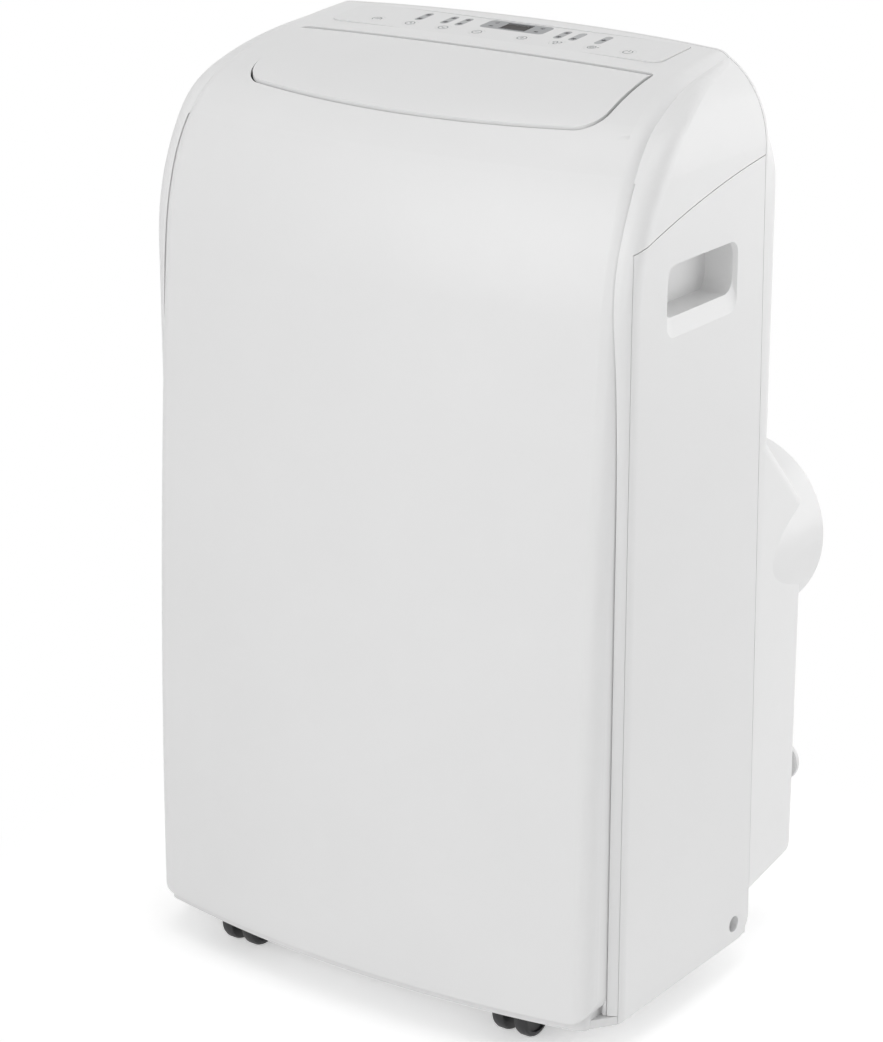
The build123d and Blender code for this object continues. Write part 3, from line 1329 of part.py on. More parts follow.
wheel_front = low_front + SHEET + FAN_CLEAR
condenser_fan = fan_wheel(
    CONDENSER_FAN_X, CONDENSER_FAN_Z, CONDENSER_FAN_R, wheel_front, wheel_front + FAN_W, low_front - SHEET - HUB_R
)
save(condenser_fan, "condenser_fan")
condenser_motor = fan_motor(CONDENSER_FAN_X, CONDENSER_FAN_Z, low_front)
save(condenser_motor, "condenser_motor")

# Compressor on rubber mounts, its pipes and the control box under the drip tray
with BuildPart() as compressor_mounts:
    with BuildSketch(level(PAN_Z)):
        with Locations(*COMPRESSOR_FEET):
            Circle(MOUNT_R)
    extrude(amount=MOUNT_H)
save(compressor_mounts, "compressor_mounts")

foot_z = PAN_Z + MOUNT_H
can_z = foot_z + FOOT_T
can_top = can_z + COMPRESSOR_H
with BuildPart() as compressor:
    with BuildSketch(level(can_z)):
        with Locations((COMPRESSOR_X, COMPRESSOR_Y)):
            Circle(COMPRESSOR_R)
    extrude(amount=COMPRESSOR_H)
    fillet(compressor.edges().group_by(Axis.Z)[-1], COMPRESSOR_R / 2)
    with BuildSketch(level(foot_z)):
        with Locations((COMPRESSOR_X, COMPRESSOR_Y)):
            Circle(COMPRESSOR_R)
            with PolarLocations(MOUNT_CIRCLE / 2, 3, start_angle=30):
                Rectangle(MOUNT_CIRCLE, 1.6 * MOUNT_R)
        with Locations(*COMPRESSOR_FEET):
            Circle(MOUNT_R)
    extrude(amount=FOOT_T)
    with BuildSketch(level(can_z + COMPRESSOR_WALL)):
        with Locations((COMPRESSOR_X, COMPRESSOR_Y)):
            Circle(COMPRESSOR_R - COMPRESSOR_WALL)
    extrude(amount=COMPRESSOR_H - 2 * COMPRESSOR_WALL - COMPRESSOR_R / 4, mode=Mode.SUBTRACT)
save(compressor, "compressor")

pipe_x = COMPRESSOR_R / 3
condenser_end = (-CONDENSER_HALF + 3 * PIPE_R, coil_front + COIL_T / 2, coil_top)
with BuildPart() as pipes:
    with BuildLine() as hot:
        FilletPolyline(
            (COMPRESSOR_X - pipe_x, COMPRESSOR_Y, can_top),
            (COMPRESSOR_X - pipe_x, COMPRESSOR_Y, can_top + 2 * PIPE_BEND),
            (condenser_end[0], condenser_end[1] - 4 * PIPE_BEND, can_top + 2 * PIPE_BEND),
            (condenser_end[0], condenser_end[1], can_top + 2 * PIPE_BEND),
            condenser_end,
            radius=PIPE_BEND,
        )
    with BuildSketch(Plane(hot.line @ 0, z_dir=hot.line % 0)):
        Circle(PIPE_R)
    sweep(path=hot.line)
    with BuildLine() as cold:
        FilletPolyline(
            (COMPRESSOR_X + pipe_x, COMPRESSOR_Y, can_top),
            (COMPRESSOR_X + pipe_x, COMPRESSOR_Y, can_top + 4 * PIPE_BEND),
            (*TRAY_HOLE, can_top + 4 * PIPE_BEND),
            (*TRAY_HOLE, TRAY_Z + 2 * PIPE_BEND),
            (-COIL_HALF, TRAY_HOLE[1], TRAY_Z + 2 * PIPE_BEND),
            radius=1.6 * PIPE_R,
        )
    with BuildSketch(Plane(cold.line @ 0, z_dir=cold.line % 0)):
        Circle(PIPE_R)
    sweep(path=cold.line)
save(pipes, "refrigerant_pipes")

with BuildPart() as control_box:
    with BuildSketch(level(TRAY_Z - TRAY_T)):
        with Locations((BOX_X, BOX_Y)):
            Rectangle(BOX_SIZE[0], BOX_SIZE[1])
    extrude(amount=-BOX_SIZE[2])
    with BuildSketch(level(TRAY_Z - TRAY_T - SHEET)):
        with Locations((BOX_X, BOX_Y)):
            Rectangle(BOX_SIZE[0] - 2 * SHEET, BOX_SIZE[1] - 2 * SHEET)
    extrude(amount=-BOX_SIZE[2] + 2 * SHEET, mode=Mode.SUBTRACT)
save(control_box, "control_box")
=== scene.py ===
import json
import math

import bmesh
import bpy
from mathutils import Matrix, Vector


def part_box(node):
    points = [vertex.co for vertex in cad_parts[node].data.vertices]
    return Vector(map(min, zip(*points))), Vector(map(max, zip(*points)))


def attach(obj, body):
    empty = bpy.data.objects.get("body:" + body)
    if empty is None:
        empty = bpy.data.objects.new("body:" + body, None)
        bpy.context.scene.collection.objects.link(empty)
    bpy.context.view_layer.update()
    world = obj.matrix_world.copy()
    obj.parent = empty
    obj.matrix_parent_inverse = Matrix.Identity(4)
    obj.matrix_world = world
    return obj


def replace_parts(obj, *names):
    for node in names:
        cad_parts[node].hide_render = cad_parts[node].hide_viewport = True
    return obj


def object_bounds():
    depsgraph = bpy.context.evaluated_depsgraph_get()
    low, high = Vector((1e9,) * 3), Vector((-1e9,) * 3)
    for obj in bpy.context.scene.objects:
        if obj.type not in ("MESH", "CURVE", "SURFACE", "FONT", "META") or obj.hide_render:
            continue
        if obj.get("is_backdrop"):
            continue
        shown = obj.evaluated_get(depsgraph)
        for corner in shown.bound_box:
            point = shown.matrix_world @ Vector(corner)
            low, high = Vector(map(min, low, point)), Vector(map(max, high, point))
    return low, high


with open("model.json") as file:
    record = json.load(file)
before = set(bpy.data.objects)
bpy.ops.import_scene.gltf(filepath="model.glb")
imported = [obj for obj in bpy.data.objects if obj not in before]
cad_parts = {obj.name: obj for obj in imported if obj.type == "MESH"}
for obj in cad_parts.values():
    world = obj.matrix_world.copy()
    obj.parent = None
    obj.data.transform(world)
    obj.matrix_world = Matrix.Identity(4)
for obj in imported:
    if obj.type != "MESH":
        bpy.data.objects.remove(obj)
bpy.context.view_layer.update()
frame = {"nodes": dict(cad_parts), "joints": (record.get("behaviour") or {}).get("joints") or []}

# Base pan: the tray that everything stands on, injection-moulded in pale grey polypropylene.
# Its foot shows as a thin strip under the front casing, and its wells take the casters.
MM = 0.001
DRIFT_MM = 90.0
GLOSS_SPREAD = 0.03
PLASTIC_IOR = 1.53


def linear(hex_colour):
    """Linear RGBA of an sRGB hex colour."""
    parts = [int(hex_colour[i : i + 2], 16) / 255 for i in (1, 3, 5)]
    return [c / 12.92 if c <= 0.04045 else ((c + 0.055) / 1.055) ** 2.4 for c in parts] + [1.0]


def add_node(tree, kind, settings=(), links=()):
    """Adds a node to a tree, with its settings and its incoming links."""
    made = tree.nodes.new(kind)
    for key, value in dict(settings).items():
        if isinstance(key, int) or key in made.inputs:
            made.inputs[key].default_value = value
        else:
            setattr(made, key, value)
    for key, (source, output) in dict(links).items():
        tree.links.new(source.outputs[output], made.inputs[key])
    return made


def moulded(name, colour, shade, roughness, grain_mm, depth_mm, specular=0.5):
    """Moulded plastic: faint tone drift, and the tool's grain in its gloss and relief."""
    material = bpy.data.materials.new(name)
    material.use_nodes = True
    tree = material.node_tree
    tree.nodes.clear()
    place = add_node(tree, "ShaderNodeTexCoord")
    drift = add_node(
        tree,
        "ShaderNodeTexNoise",
        {"Scale": 1 / (DRIFT_MM * MM), "Detail": 2.0},
        {"Vector": (place, "Object")},
    )
    tone = add_node(
        tree, "ShaderNodeMix", {"data_type": "RGBA", 6: linear(colour), 7: linear(shade)}, {0: (drift, 0)}
    )
    grain = add_node(
        tree,
        "ShaderNodeTexNoise",
        {"Scale": 1 / (grain_mm * MM), "Detail": 3.0},
        {"Vector": (place, "Object")},
    )
    gloss = add_node(
        tree,
        "ShaderNodeMapRange",
        {
            "From Min": 0.3,
            "From Max": 0.7,
            "To Min": roughness - GLOSS_SPREAD,
            "To Max": roughness + GLOSS_SPREAD,
        },
        {"Value": (grain, 0)},
    )
    relief = add_node(
        tree, "ShaderNodeBump", {"Strength": 1.0, "Distance": depth_mm * MM}, {"Height": (grain, 0)}
    )
    shader = add_node(
        tree,
        "ShaderNodeBsdfPrincipled",
        {"IOR": PLASTIC_IOR, "Specular IOR Level": specular},
        {"Base Color": (tone, 2), "Roughness": (gloss, 0), "Normal": (relief, 0)},
    )
    add_node(tree, "ShaderNodeOutputMaterial", (), {"Surface": (shader, 0)})
    return material


def dress(material, *names):
    """Gives CAD nodes their finish."""
    for name in names:
        frame["nodes"][name].data.materials.clear()
        frame["nodes"][name].data.materials.append(material)


# Polypropylene from a spark-eroded tool: soft sheen, a little greyer than the casing.
pan_plastic = moulded("polypropylene_pale_grey", "#E4E4E4", "#DFDFDF", 0.5, 1.4, 0.008)
dress(pan_plastic, "base_pan")

# Casters: four swivelling twin-wheel castors, nylon hoods on steel axles, pressed into the pan.
# Each pair of black nylon wheels is moulded with a rounded tread, a dished web and a raised hub.
WHEEL_STEPS = 56
BORE_R = 3.05
CREASE = math.radians(35)
MERGE = 0.001 * MM
STREAK_STRETCH = 60
STREAK_GLOSS = 0.1
# Half a wheel pair: distance from the middle along the axle, and radius.
WHEEL_PROFILE = (
    (4.5, BORE_R),
    (4.5, 17.4),
    (5.4, 19.1),
    (7.4, 20.0),
    (13.6, 20.0),
    (15.6, 19.1),
    (16.5, 17.4),
    (16.5, 15.6),
    (14.6, 15.0),
    (14.2, 8.2),
    (15.9, 7.4),
    (15.9, BORE_R),
)


def metal(name, colour, roughness, streak_mm, along):
    """Bare or plated metal, its gloss broken by the fine lines that drawing or rolling leaves."""
    material = bpy.data.materials.new(name)
    material.use_nodes = True
    tree = material.node_tree
    tree.nodes.clear()
    place = add_node(tree, "ShaderNodeTexCoord")
    scale = [1 / (streak_mm * MM)] * 3
    scale["XYZ".index(along)] /= STREAK_STRETCH
    drawn = add_node(tree, "ShaderNodeMapping", {"Scale": scale}, {"Vector": (place, "Object")})
    lines = add_node(tree, "ShaderNodeTexNoise", {"Scale": 1.0, "Detail": 2.0}, {"Vector": (drawn, 0)})
    gloss = add_node(
        tree,
        "ShaderNodeMapRange",
        {"To Min": roughness - STREAK_GLOSS, "To Max": roughness + STREAK_GLOSS},
        {"Value": (lines, 0)},
    )
    relief = add_node(
        tree, "ShaderNodeBump", {"Strength": 0.4, "Distance": 0.01 * MM}, {"Height": (lines, 0)}
    )
    shader = add_node(
        tree,
        "ShaderNodeBsdfPrincipled",
        {"Base Color": linear(colour), "Metallic": 1.0},
        {"Roughness": (gloss, 0), "Normal": (relief, 0)},
    )
    add_node(tree, "ShaderNodeOutputMaterial", (), {"Surface": (shader, 0)})
    return material


def make_piece(name, shape, material, body):
    """Turns a finished bmesh into a piece that rides on a body, with creases kept sharp."""
    bmesh.ops.recalc_face_normals(shape, faces=shape.faces)
    for face in shape.faces:
        face.smooth = True
    for edge in shape.edges:
        edge.smooth = len(edge.link_faces) == 2 and edge.calc_face_angle() < CREASE
    mesh = bpy.data.meshes.new(name)
    shape.to_mesh(mesh)
    shape.free()
    mesh.materials.append(material)
    piece = bpy.data.objects.new(name, mesh)
    bpy.context.scene.collection.objects.link(piece)
    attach(piece, body)
    return piece


# Nylon: the hoods are white with a soft sheen; the wheels are black, dull on the tread from rolling.
hood_nylon = moulded("nylon_white", "#E4E4E4", "#DFDFDF", 0.42, 1.0, 0.006)
wheel_nylon = moulded("nylon_black", "#19191B", "#222224", 0.44, 0.9, 0.01)
# Zinc-plated steel: pale grey with drawn lines along the wire.
plated_steel = metal("zinc_plated_steel", "#B9BBBD", 0.34, 0.3, "X")
for caster in ("front_left", "front_right", "rear_left", "rear_right"):
    dress(hood_nylon, f"caster_hood_{caster}")
    dress(plated_steel, f"caster_axle_{caster}")
    low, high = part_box(f"caster_wheels_{caster}")
    wheel = bmesh.new()
    rim = [wheel.verts.new((x * MM, 0, r * MM)) for x, r in WHEEL_PROFILE]
    outline = [wheel.edges.new((a, b)) for a, b in zip(rim, rim[1:] + rim[:1])]
    bmesh.ops.spin(
        wheel,
        geom=rim + outline,
        axis=(1, 0, 0),
        angle=2 * math.pi,
        steps=WHEEL_STEPS,
        use_merge=True,
    )
    bmesh.ops.remove_doubles(wheel, verts=wheel.verts, dist=MERGE)
    half = wheel.verts[:] + wheel.edges[:] + wheel.faces[:]
    bmesh.ops.mirror(wheel, geom=half, axis="X", merge_dist=0)
    bmesh.ops.translate(wheel, vec=(Vector(low) + Vector(high)) / 2, verts=wheel.verts)
    pair = make_piece(f"wheel_pair_{caster}", wheel, wheel_nylon, f"wheels_{caster}")
    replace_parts(pair, f"caster_wheels_{caster}")

# Cooling circuit: compressor on rubber mounts, copper pipes and two finned coils.
# Bought-in parts, brazed together and screwed to the pan and the trays.
# Black enamel over steel: smooth, with a slight orange peel. Rubber: dull and a little greyer.
black_enamel = moulded("black_enamel_on_steel", "#19191B", "#151517", 0.36, 1.6, 0.01)
rubber = moulded("epdm_rubber_black", "#242426", "#1C1C1E", 0.68, 0.8, 0.012)
# Drawn copper and rolled fin stock: warm and cold metal with lines along their length.
copper = metal("drawn_copper", "#C58A68", 0.3, 0.4, "Y")
fin_stock = metal("aluminium_fin_stock", "#C9CCD0", 0.38, 0.5, "Z")
dress(black_enamel, "compressor")
dress(rubber, "compressor_mounts")
dress(copper, "refrigerant_pipes")
dress(fin_stock, "evaporator_coil", "condenser_coil")

# Air path: two blower wheels in their scrolls, their motors, the drip tray between the two halves,
# the outlet duct with its guide vanes, and the filter. Grey polystyrene mouldings, clipped and screwed.
# High-impact polystyrene: unpainted inner mouldings, matt mid grey.
inner_styrene = moulded("polystyrene_grey", "#8B8D90", "#828487", 0.5, 1.2, 0.01)
dress(
    inner_styrene,
    "drip_tray",
    "evaporator_scroll",
    "evaporator_fan",
    "condenser_scroll",
    "condenser_fan",
    "outlet_duct",
    "outlet_vanes",
    "louver_motor",
    "air_filter",
)
dress(black_enamel, "evaporator_motor", "condenser_motor")

# Electrics: a folded sheet steel box for the terminals, screwed under the drip tray, and the display
# board, clipped under the control panel.
# Zinc-coated sheet: flat grey, faintly mottled. Glass epoxy: green, slightly glossy.
coated_sheet = moulded("zinc_coated_sheet", "#9C9EA0", "#929496", 0.45, 2.0, 0.008)
board_epoxy = moulded("glass_epoxy_board", "#1F5A36", "#1A4F2F", 0.4, 1.5, 0.008)
dress(coated_sheet, "control_box")
dress(board_epoxy, "display_board")

# Front casing, side panels and rear cover: the white ABS shell, moulded in polished tools, hooked
# together along fine seams.
# Polished ABS: satin white with a long soft wave in its reflections, too shallow to feel.
white_abs = moulded("abs_white", "#E8E8E8", "#E5E5E5", 0.36, 14.0, 0.004)
dress(white_abs, "front_casing", "left_side_panel", "right_side_panel", "rear_cover")

# Louver: the curved white ABS flap over the outlet, which tilts on its end pins.
# Its rear edge is rolled down, so that the gap behind it shows as a line and the flap clears it.
LIP_RUN = 10.0
LIP_DROP = 2.4
LIP_CUTS = (1.0, 0.7, 0.45, 0.25, 0.1)
flap = bmesh.new()
flap.from_mesh(frame["nodes"]["louver"].data)
bmesh.ops.remove_doubles(flap, verts=flap.verts, dist=MERGE)
flap_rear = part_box("louver")[1][1]
for cut in LIP_CUTS:
    bmesh.ops.bisect_plane(
        flap,
        geom=flap.verts[:] + flap.edges[:] + flap.faces[:],
        plane_co=(0, flap_rear - cut * LIP_RUN * MM, 0),
        plane_no=(0, 1, 0),
    )
for vert in flap.verts:
    bent = max(0.0, (vert.co.y - flap_rear) / (LIP_RUN * MM) + 1)
    vert.co.z -= LIP_DROP * MM * bent**2
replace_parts(make_piece("outlet_louver", flap, white_abs, "louver"), "louver")

# Rear fittings: intake grille, exhaust collar and cord hook in white ABS with a grained surface,
# rubber drain caps and cord gland pressed into the rear cover.
# Grained ABS: the same white without the polish.
grained_abs = moulded("abs_white_grained", "#E3E3E3", "#DFDFDF", 0.46, 1.2, 0.008)
dress(grained_abs, "upper_intake_grille", "exhaust_ring", "cord_hook")
dress(rubber, "upper_drain_cap", "lower_drain_cap", "cord_gland")

# Screws: pan-headed self-tapping screws in zinc-plated steel, with a cross recess for the driver.
# One at the foot of each side panel, in a cup, and four through the rear cover.
HEAD_R = 4.5
HEAD_RISE = 3.0
HEAD_EDGE = 1.5
HEAD_GRID = 2.5
RECESS_DEPTH = 1.6
RECESS_REACH = 1.8
RECESS_HALF_W = 0.3
RECESS_TAPER = 0.7
SHANK_R = 2.0
SHANK_LENGTH = 14.0


def make_screw_set(name, places, node):
    """Makes one screw, repeats it at each place and lets the set stand for the CAD node."""
    shape = bmesh.new()
    head = bmesh.ops.create_grid(shape, x_segments=5, y_segments=5, size=HEAD_GRID * MM)["verts"]
    for vert in head:
        if max(abs(vert.co.x), abs(vert.co.y)) > (HEAD_GRID - 0.1) * MM:
            vert.co *= HEAD_R * MM / vert.co.length
        out = vert.co.length / (HEAD_R * MM)
        vert.co.z = (HEAD_RISE - (HEAD_RISE - HEAD_EDGE) * out**2) * MM
    cross = [
        face
        for face in shape.faces
        if min(abs(v) for v in face.calc_center_median().xy) < RECESS_HALF_W * MM
        and face.calc_center_median().xy.length < RECESS_REACH * MM
    ]
    rim = [edge for edge in shape.edges if edge.is_boundary]
    recess = bmesh.ops.extrude_face_region(shape, geom=cross)["geom"]
    sunk = [part for part in recess if isinstance(part, bmesh.types.BMVert)]
    bmesh.ops.scale(shape, vec=(RECESS_TAPER, RECESS_TAPER, 1.0), verts=sunk)
    bmesh.ops.translate(shape, vec=(0, 0, -RECESS_DEPTH * MM), verts=sunk)
    skirt = bmesh.ops.extrude_edge_only(shape, edges=rim)["geom"]
    for vert in [part for part in skirt if isinstance(part, bmesh.types.BMVert)]:
        vert.co.z = 0.0
    rim = [edge for edge in shape.edges if edge.is_boundary]
    seat = bmesh.ops.holes_fill(shape, edges=rim)["faces"]
    bmesh.ops.inset_region(shape, faces=seat, thickness=(HEAD_R - SHANK_R) * MM, use_even_offset=True)
    for run, taper in ((0.8 * SHANK_LENGTH, 1.0), (0.2 * SHANK_LENGTH, 0.2)):
        seat = bmesh.ops.extrude_discrete_faces(shape, faces=seat)["faces"]
        bmesh.ops.translate(shape, vec=(0, 0, -run * MM), verts=seat[0].verts)
        bmesh.ops.scale(shape, vec=(taper, taper, 1.0), verts=seat[0].verts)
    master = shape.verts[:] + shape.edges[:] + shape.faces[:]
    for place in places:
        copy = bmesh.ops.duplicate(shape, geom=master)["geom"]
        bmesh.ops.transform(
            shape, matrix=place, verts=[part for part in copy if isinstance(part, bmesh.types.BMVert)]
        )
    pattern = [part for part in master if isinstance(part, bmesh.types.BMVert)]
    bmesh.ops.delete(shape, geom=pattern, context="VERTS")
    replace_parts(make_piece(name, shape, plated_steel, "cabinet"), node)


low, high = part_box("side_screws")
middle = (Vector(low) + Vector(high)) / 2
make_screw_set(
    "side_screw_set",
    [
        Matrix.Translation((side * (high[0] - HEAD_RISE * MM), middle.y, middle.z))
        @ Matrix.Rotation(side * math.pi / 2, 4, "Y")
        for side in (-1, 1)
    ],
    "side_screws",
)
low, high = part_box("rear_screws")
make_screw_set(
    "rear_screw_set",
    [
        Matrix.Translation((side * (high[0] - HEAD_R * MM), high[1] - HEAD_RISE * MM, height))
        @ Matrix.Rotation(-math.pi / 2, 4, "X")
        for side in (-1, 1)
        for height in (low[2] + HEAD_R * MM, high[2] - HEAD_R * MM)
    ],
    "rear_screws",
)

# Control panel: white polyester film over the keys, bonded to its bed, with a smoked display window,
# grey lamp windows and screen-printed signs. The film flexes over each key.
PANEL_LENGTH = 52.0
DISPLAY_Y = 13.5
DISPLAY_HALF = (12.3, 5.5)
MASK_HALF = 8.2
SURROUND_HALF = (30.0, 10.8)
SURROUND_R = 4.5
WINDOW_GAP = 0.2
LAMP_X = (-87, -62, -48, 46, 60, 84)
LAMP_R = 1.5
RAY_REACH = 2.5
LAMP_MARKS = ((15.5, 3.5), (15.5, 3.5), (15.5, 3.5), (15.5, 3.5), (3.5,), (9.5,))
KEY_X = (-119, -86.2, -54, -21.4, 21.4, 54, 86.2, 119)
KEY_Y = -11.0
STEP_X = 21.5
STEP_Y = 5.0
RING_R = 3.9
INK_LOW = -0.02
INK_HIGH = 0.05
LINE_W = 0.75

press = next(joint for joint in frame["joints"] if joint["name"] == "key_1_press")["axis"]
slope = math.atan2(press[1], -press[2])
low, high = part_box("control_panel")
film_half = PANEL_LENGTH / 2 * MM
film_place = Matrix.Translation(
    (0, low[1] + film_half * math.cos(slope), high[2] - film_half * math.sin(slope))
) @ Matrix.Rotation(slope, 4, "X")


def draw_arc(shape, spot, radius, start, sweep):
    """Printed line round spot, from the start angle over the sweep, in degrees."""
    a = math.radians(start)
    across = [
        shape.verts.new((spot[0] + r * math.cos(a), spot[1] + r * math.sin(a), 0))
        for r in (radius - LINE_W / 2, radius + LINE_W / 2)
    ]
    bmesh.ops.spin(
        shape,
        geom=across + [shape.edges.new(across)],
        cent=(spot[0], spot[1], 0),
        axis=(0, 0, 1),
        angle=math.radians(sweep),
        steps=max(6, sweep // 12),
        use_merge=sweep == 360,
    )


def draw_bar(shape, start, end, width=LINE_W):
    """Printed straight line from start to end."""
    run = Vector((end[0] - start[0], end[1] - start[1], 0))
    aside = Vector((-run.y, run.x, 0)).normalized() * width / 2
    across = [shape.verts.new(Vector((*start, 0)) + side * aside) for side in (-1, 1)]
    made = bmesh.ops.extrude_edge_only(shape, edges=[shape.edges.new(across)])["geom"]
    far_end = [part for part in made if isinstance(part, bmesh.types.BMVert)]
    bmesh.ops.translate(shape, vec=run, verts=far_end)


def draw_dot(shape, spot, radius):
    """Printed dot."""
    bmesh.ops.create_circle(
        shape, cap_ends=True, segments=20, radius=radius, matrix=Matrix.Translation((spot[0], spot[1], 0))
    )


def print_ink(name, shape, ink, body):
    """Gives flat printing its thickness, lays it on the film and makes it a piece."""
    bmesh.ops.remove_doubles(shape, verts=shape.verts, dist=0.0001)
    bmesh.ops.translate(shape, vec=(0, 0, INK_LOW), verts=shape.verts)
    made = bmesh.ops.extrude_face_region(shape, geom=shape.faces[:], use_keep_orig=True)["geom"]
    top = [part for part in made if isinstance(part, bmesh.types.BMVert)]
    bmesh.ops.translate(shape, vec=(0, 0, INK_HIGH - INK_LOW), verts=top)
    bmesh.ops.scale(shape, vec=(MM, MM, MM), verts=shape.verts)
    bmesh.ops.transform(shape, matrix=film_place, verts=shape.verts)
    make_piece(name, shape, ink, body)


# Polyester film: even satin white. Acrylic windows: plain grey, and smoked under a glare-free coat.
polyester_film = moulded("polyester_film_white", "#E5E5E5", "#E2E2E2", 0.36, 5.0, 0.002)
smoked_acrylic = moulded("smoked_acrylic", "#1C1615", "#171211", 0.4, 6.0, 0.001, 0.1)
grey_acrylic = moulded("grey_acrylic", "#A3A4A6", "#9C9D9F", 0.3, 3.0, 0.002)
# Screen ink: dull and opaque, in mid grey for the keys and near black for the lamps.
grey_ink = moulded("screen_ink_grey", "#7F8183", "#77797B", 0.6, 0.8, 0.002)
surround_ink = moulded("screen_ink_pale_grey", "#A2A3A5", "#9C9D9F", 0.55, 0.8, 0.002)
dark_ink = moulded("screen_ink_black", "#2C2D2F", "#353638", 0.6, 0.8, 0.002)
dress(polyester_film, "control_panel", *[f"key_{number}" for number in range(1, 9)])
dress(smoked_acrylic, "display_window")
dress(grey_acrylic, "indicator_windows")

surround = bmesh.new()
plate = bmesh.ops.create_grid(surround, x_segments=1, y_segments=1, size=1.0)["verts"]
bmesh.ops.scale(surround, vec=(*SURROUND_HALF, 1.0), verts=plate)
bmesh.ops.bevel(
    surround, geom=plate, offset=SURROUND_R, affect="VERTICES", segments=6, profile=0.5, material=-1
)
bmesh.ops.delete(surround, geom=surround.faces[:], context="FACES_ONLY")
window = bmesh.ops.create_grid(surround, x_segments=1, y_segments=1, size=1.0)["verts"]
bmesh.ops.scale(surround, vec=(DISPLAY_HALF[0] + WINDOW_GAP, MASK_HALF + WINDOW_GAP, 1.0), verts=window)
bmesh.ops.delete(surround, geom=surround.faces[:], context="FACES_ONLY")
bmesh.ops.triangle_fill(surround, use_beauty=True, edges=surround.edges[:])
bmesh.ops.translate(surround, vec=(0, DISPLAY_Y, 0), verts=surround.verts)
print_ink("display_surround", surround, surround_ink, "cabinet")

lamp_signs = bmesh.new()
for x, marks in zip(LAMP_X, LAMP_MARKS):
    for y in marks:
        draw_dot(lamp_signs, (x, y), LAMP_R)
        for angle in (0, 60, 120):
            a = math.radians(angle + 4 * x)
            ray = Vector((math.cos(a), math.sin(a))) * RAY_REACH
            draw_bar(lamp_signs, (x - ray.x, y - ray.y), (x + ray.x, y + ray.y))
for side in (-1, 1):
    edge_y = DISPLAY_Y + side * (DISPLAY_HALF[1] + MASK_HALF) / 2
    draw_bar(
        lamp_signs, (-DISPLAY_HALF[0], edge_y), (DISPLAY_HALF[0], edge_y), MASK_HALF - DISPLAY_HALF[1] - 0.1
    )
    draw_dot(lamp_signs, (side * STEP_X, DISPLAY_Y + STEP_Y), 2.0)
    step_y = DISPLAY_Y - STEP_Y
    draw_bar(lamp_signs, (side * STEP_X - 1.8, step_y), (side * STEP_X + 1.8, step_y), 2.6)
print_ink("lamp_signs", lamp_signs, dark_ink, "cabinet")

for number, x in enumerate(KEY_X, start=1):
    y = KEY_Y
    sign = bmesh.new()
    if number in (2, 3, 4, 5):
        draw_arc(sign, (x, y), RING_R, 0, 360)
    if number == 1:
        draw_arc(sign, (x, y), RING_R, -20, 250)
        draw_bar(sign, (x - 1.6, y - 0.9), (x + 1.8, y - 0.9))
        draw_bar(sign, (x - 0.6, y + 1.0), (x + 2.8, y + 1.0))
    elif number == 2:
        draw_bar(sign, (x, y), (x, y + 2.5))
        draw_bar(sign, (x, y), (x + 1.8, y - 0.6))
    elif number == 3:
        draw_bar(sign, (x - 1.6, y + 1.0), (x + 0.4, y - 1.0))
        draw_bar(sign, (x + 0.4, y - 1.0), (x + 1.8, y + 0.4))
    elif number == 4:
        draw_bar(sign, (x - 1.8, y), (x + 1.8, y))
    elif number == 5:
        draw_bar(sign, (x - 1.8, y), (x + 1.8, y))
        draw_bar(sign, (x, y - 1.8), (x, y + 1.8))
    elif number == 6:
        for angle in (30, 150, 270):
            a = math.radians(angle)
            draw_arc(sign, (x + 2.2 * math.cos(a), y + 2.2 * math.sin(a)), 1.8, angle - 150, 230)
        draw_dot(sign, (x, y), 0.7)
    elif number == 7:
        draw_arc(sign, (x, y), 3.4, 0, 360)
        draw_arc(sign, (x, y), 1.5, 0, 360)
        draw_dot(sign, (x + 5.0, y + 1.2), 0.7)
    elif number == 8:
        draw_arc(sign, (x, y), RING_R, 120, 300)
        draw_bar(sign, (x, y + 0.4), (x, y + 4.8))
    print_ink(f"key_sign_{number}", sign, grey_ink, f"key_{number}")

# Studio: a pale floor that runs out of sight under soft lamps, with a white surround.
# The floor is white to the camera beyond the object's own shadow.
FLOOR_HALF = 12.0
SHADOW_REACH = (0.24, 0.46)
FLOOR_LIFT = 0.4
FILL = 0.33
floor_shape = bmesh.new()
bmesh.ops.create_grid(floor_shape, x_segments=1, y_segments=1, size=FLOOR_HALF)
floor_mesh = bpy.data.meshes.new("floor")
floor_shape.to_mesh(floor_mesh)
floor_shape.free()
floor = bpy.data.objects.new("floor", floor_mesh)
bpy.context.scene.collection.objects.link(floor)
floor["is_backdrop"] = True


def seen_ray(tree):
    """1 for rays that show the surround itself: straight, mirrored or through glass."""
    rays = add_node(tree, "ShaderNodeLightPath")
    mirrored = add_node(
        tree,
        "ShaderNodeMath",
        {"operation": "MAXIMUM"},
        {0: (rays, "Is Glossy Ray"), 1: (rays, "Is Transmission Ray")},
    )
    return add_node(
        tree, "ShaderNodeMath", {"operation": "MAXIMUM"}, {0: (rays, "Is Camera Ray"), 1: (mirrored, 0)}
    )


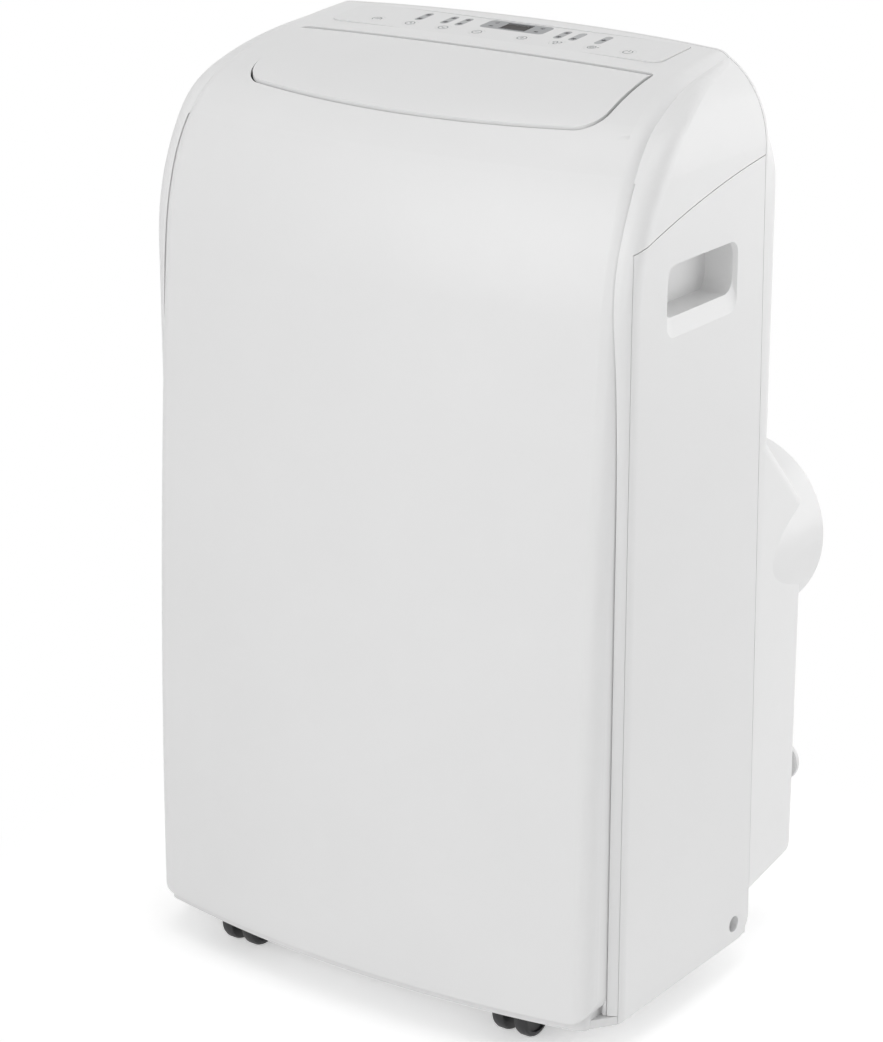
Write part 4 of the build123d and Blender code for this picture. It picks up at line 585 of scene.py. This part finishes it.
floor_paint = bpy.data.materials.new("floor_matt_white")
floor_paint.use_nodes = True
tree = floor_paint.node_tree
tree.nodes.clear()
place = add_node(tree, "ShaderNodeTexCoord")
reach = add_node(tree, "ShaderNodeVectorMath", {"operation": "LENGTH"}, {0: (place, "Object")})
far = add_node(
    tree,
    "ShaderNodeMapRange",
    {"interpolation_type": "SMOOTHSTEP", "From Min": SHADOW_REACH[0], "From Max": SHADOW_REACH[1]},
    {"Value": (reach, "Value")},
)
share = add_node(tree, "ShaderNodeMath", {"operation": "MULTIPLY"}, {0: (far, 0), 1: (seen_ray(tree), 0)})
matt = add_node(tree, "ShaderNodeBsdfPrincipled", {"Base Color": linear("#F4F4F4"), "Roughness": 0.9})
glow = add_node(tree, "ShaderNodeMath", {"operation": "MULTIPLY", 1: FLOOR_LIFT}, {0: (seen_ray(tree), 0)})
lift = add_node(tree, "ShaderNodeEmission", {"Color": linear("#FFFFFF")}, {"Strength": (glow, 0)})
near = add_node(tree, "ShaderNodeAddShader", (), {0: (matt, 0), 1: (lift, 0)})
white = add_node(tree, "ShaderNodeEmission", {"Color": linear("#FFFFFF"), "Strength": 1.0})
mix = add_node(tree, "ShaderNodeMixShader", (), {0: (share, 0), 1: (near, 0), 2: (white, 0)})
add_node(tree, "ShaderNodeOutputMaterial", (), {"Surface": (mix, 0)})
floor_mesh.materials.append(floor_paint)

world = bpy.data.worlds.new("studio")
world.use_nodes = True
tree = world.node_tree
tree.nodes.clear()
fill = add_node(tree, "ShaderNodeBackground", {"Color": linear("#FFFFFF"), "Strength": FILL})
white = add_node(tree, "ShaderNodeBackground", {"Color": linear("#FFFFFF"), "Strength": 1.0})
mix = add_node(tree, "ShaderNodeMixShader", (), {0: (seen_ray(tree), 0), 1: (fill, 0), 2: (white, 0)})
add_node(tree, "ShaderNodeOutputWorld", (), {"Surface": (mix, 0)})
bpy.context.scene.world = world


def add_lamp(name, spot, aim, size, power):
    """Soft rectangular lamp, out of the camera's sight."""
    light = bpy.data.lights.new(name, "AREA")
    light.shape = "RECTANGLE"
    light.size, light.size_y = size
    light.energy = power
    holder = bpy.data.objects.new(name, light)
    holder.location = spot
    holder.rotation_euler = (Vector(aim) - Vector(spot)).to_track_quat("-Z", "Y").to_euler()
    holder.visible_camera = False
    bpy.context.scene.collection.objects.link(holder)


add_lamp("front_softbox", (-0.5, -3.0, 1.5), (0.0, 0.0, 0.4), (2.4, 2.4), 33.5)
add_lamp("side_softbox", (1.9, 1.7, 0.7), (0.1, 0.0, 0.4), (2.6, 2.4), 34.5)
add_lamp("edge_softbox", (1.7, -2.5, 0.8), (0.1, -0.1, 0.4), (0.8, 1.6), 10.0)
add_lamp("rear_softbox", (0.2, 2.7, 1.5), (0.1, 0.1, 0.4), (2.2, 2.0), 18.0)
add_lamp("overhead_softbox", (0.1, -0.3, 2.9), (0.0, 0.0, 0.7), (2.2, 2.2), 19.0)

# Camera: at the photograph's place, looking down on the front and the right side without roll.
# The long lens keeps the upright edges close to parallel.
camera_data = bpy.data.cameras.new("camera")
camera_data.sensor_width = 36.0
camera_data.lens = 111.56
camera_data.clip_end = 50.0
camera = bpy.data.objects.new("camera", camera_data)
camera.location = (1.4206, -2.0428, 1.2405)
camera.rotation_euler = Vector((-0.5475, 0.7681, -0.3320)).to_track_quat("-Z", "Y").to_euler()
bpy.context.scene.collection.objects.link(camera)
bpy.context.scene.camera = camera
bpy.context.scene.view_settings.view_transform = "Standard"

low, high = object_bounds()
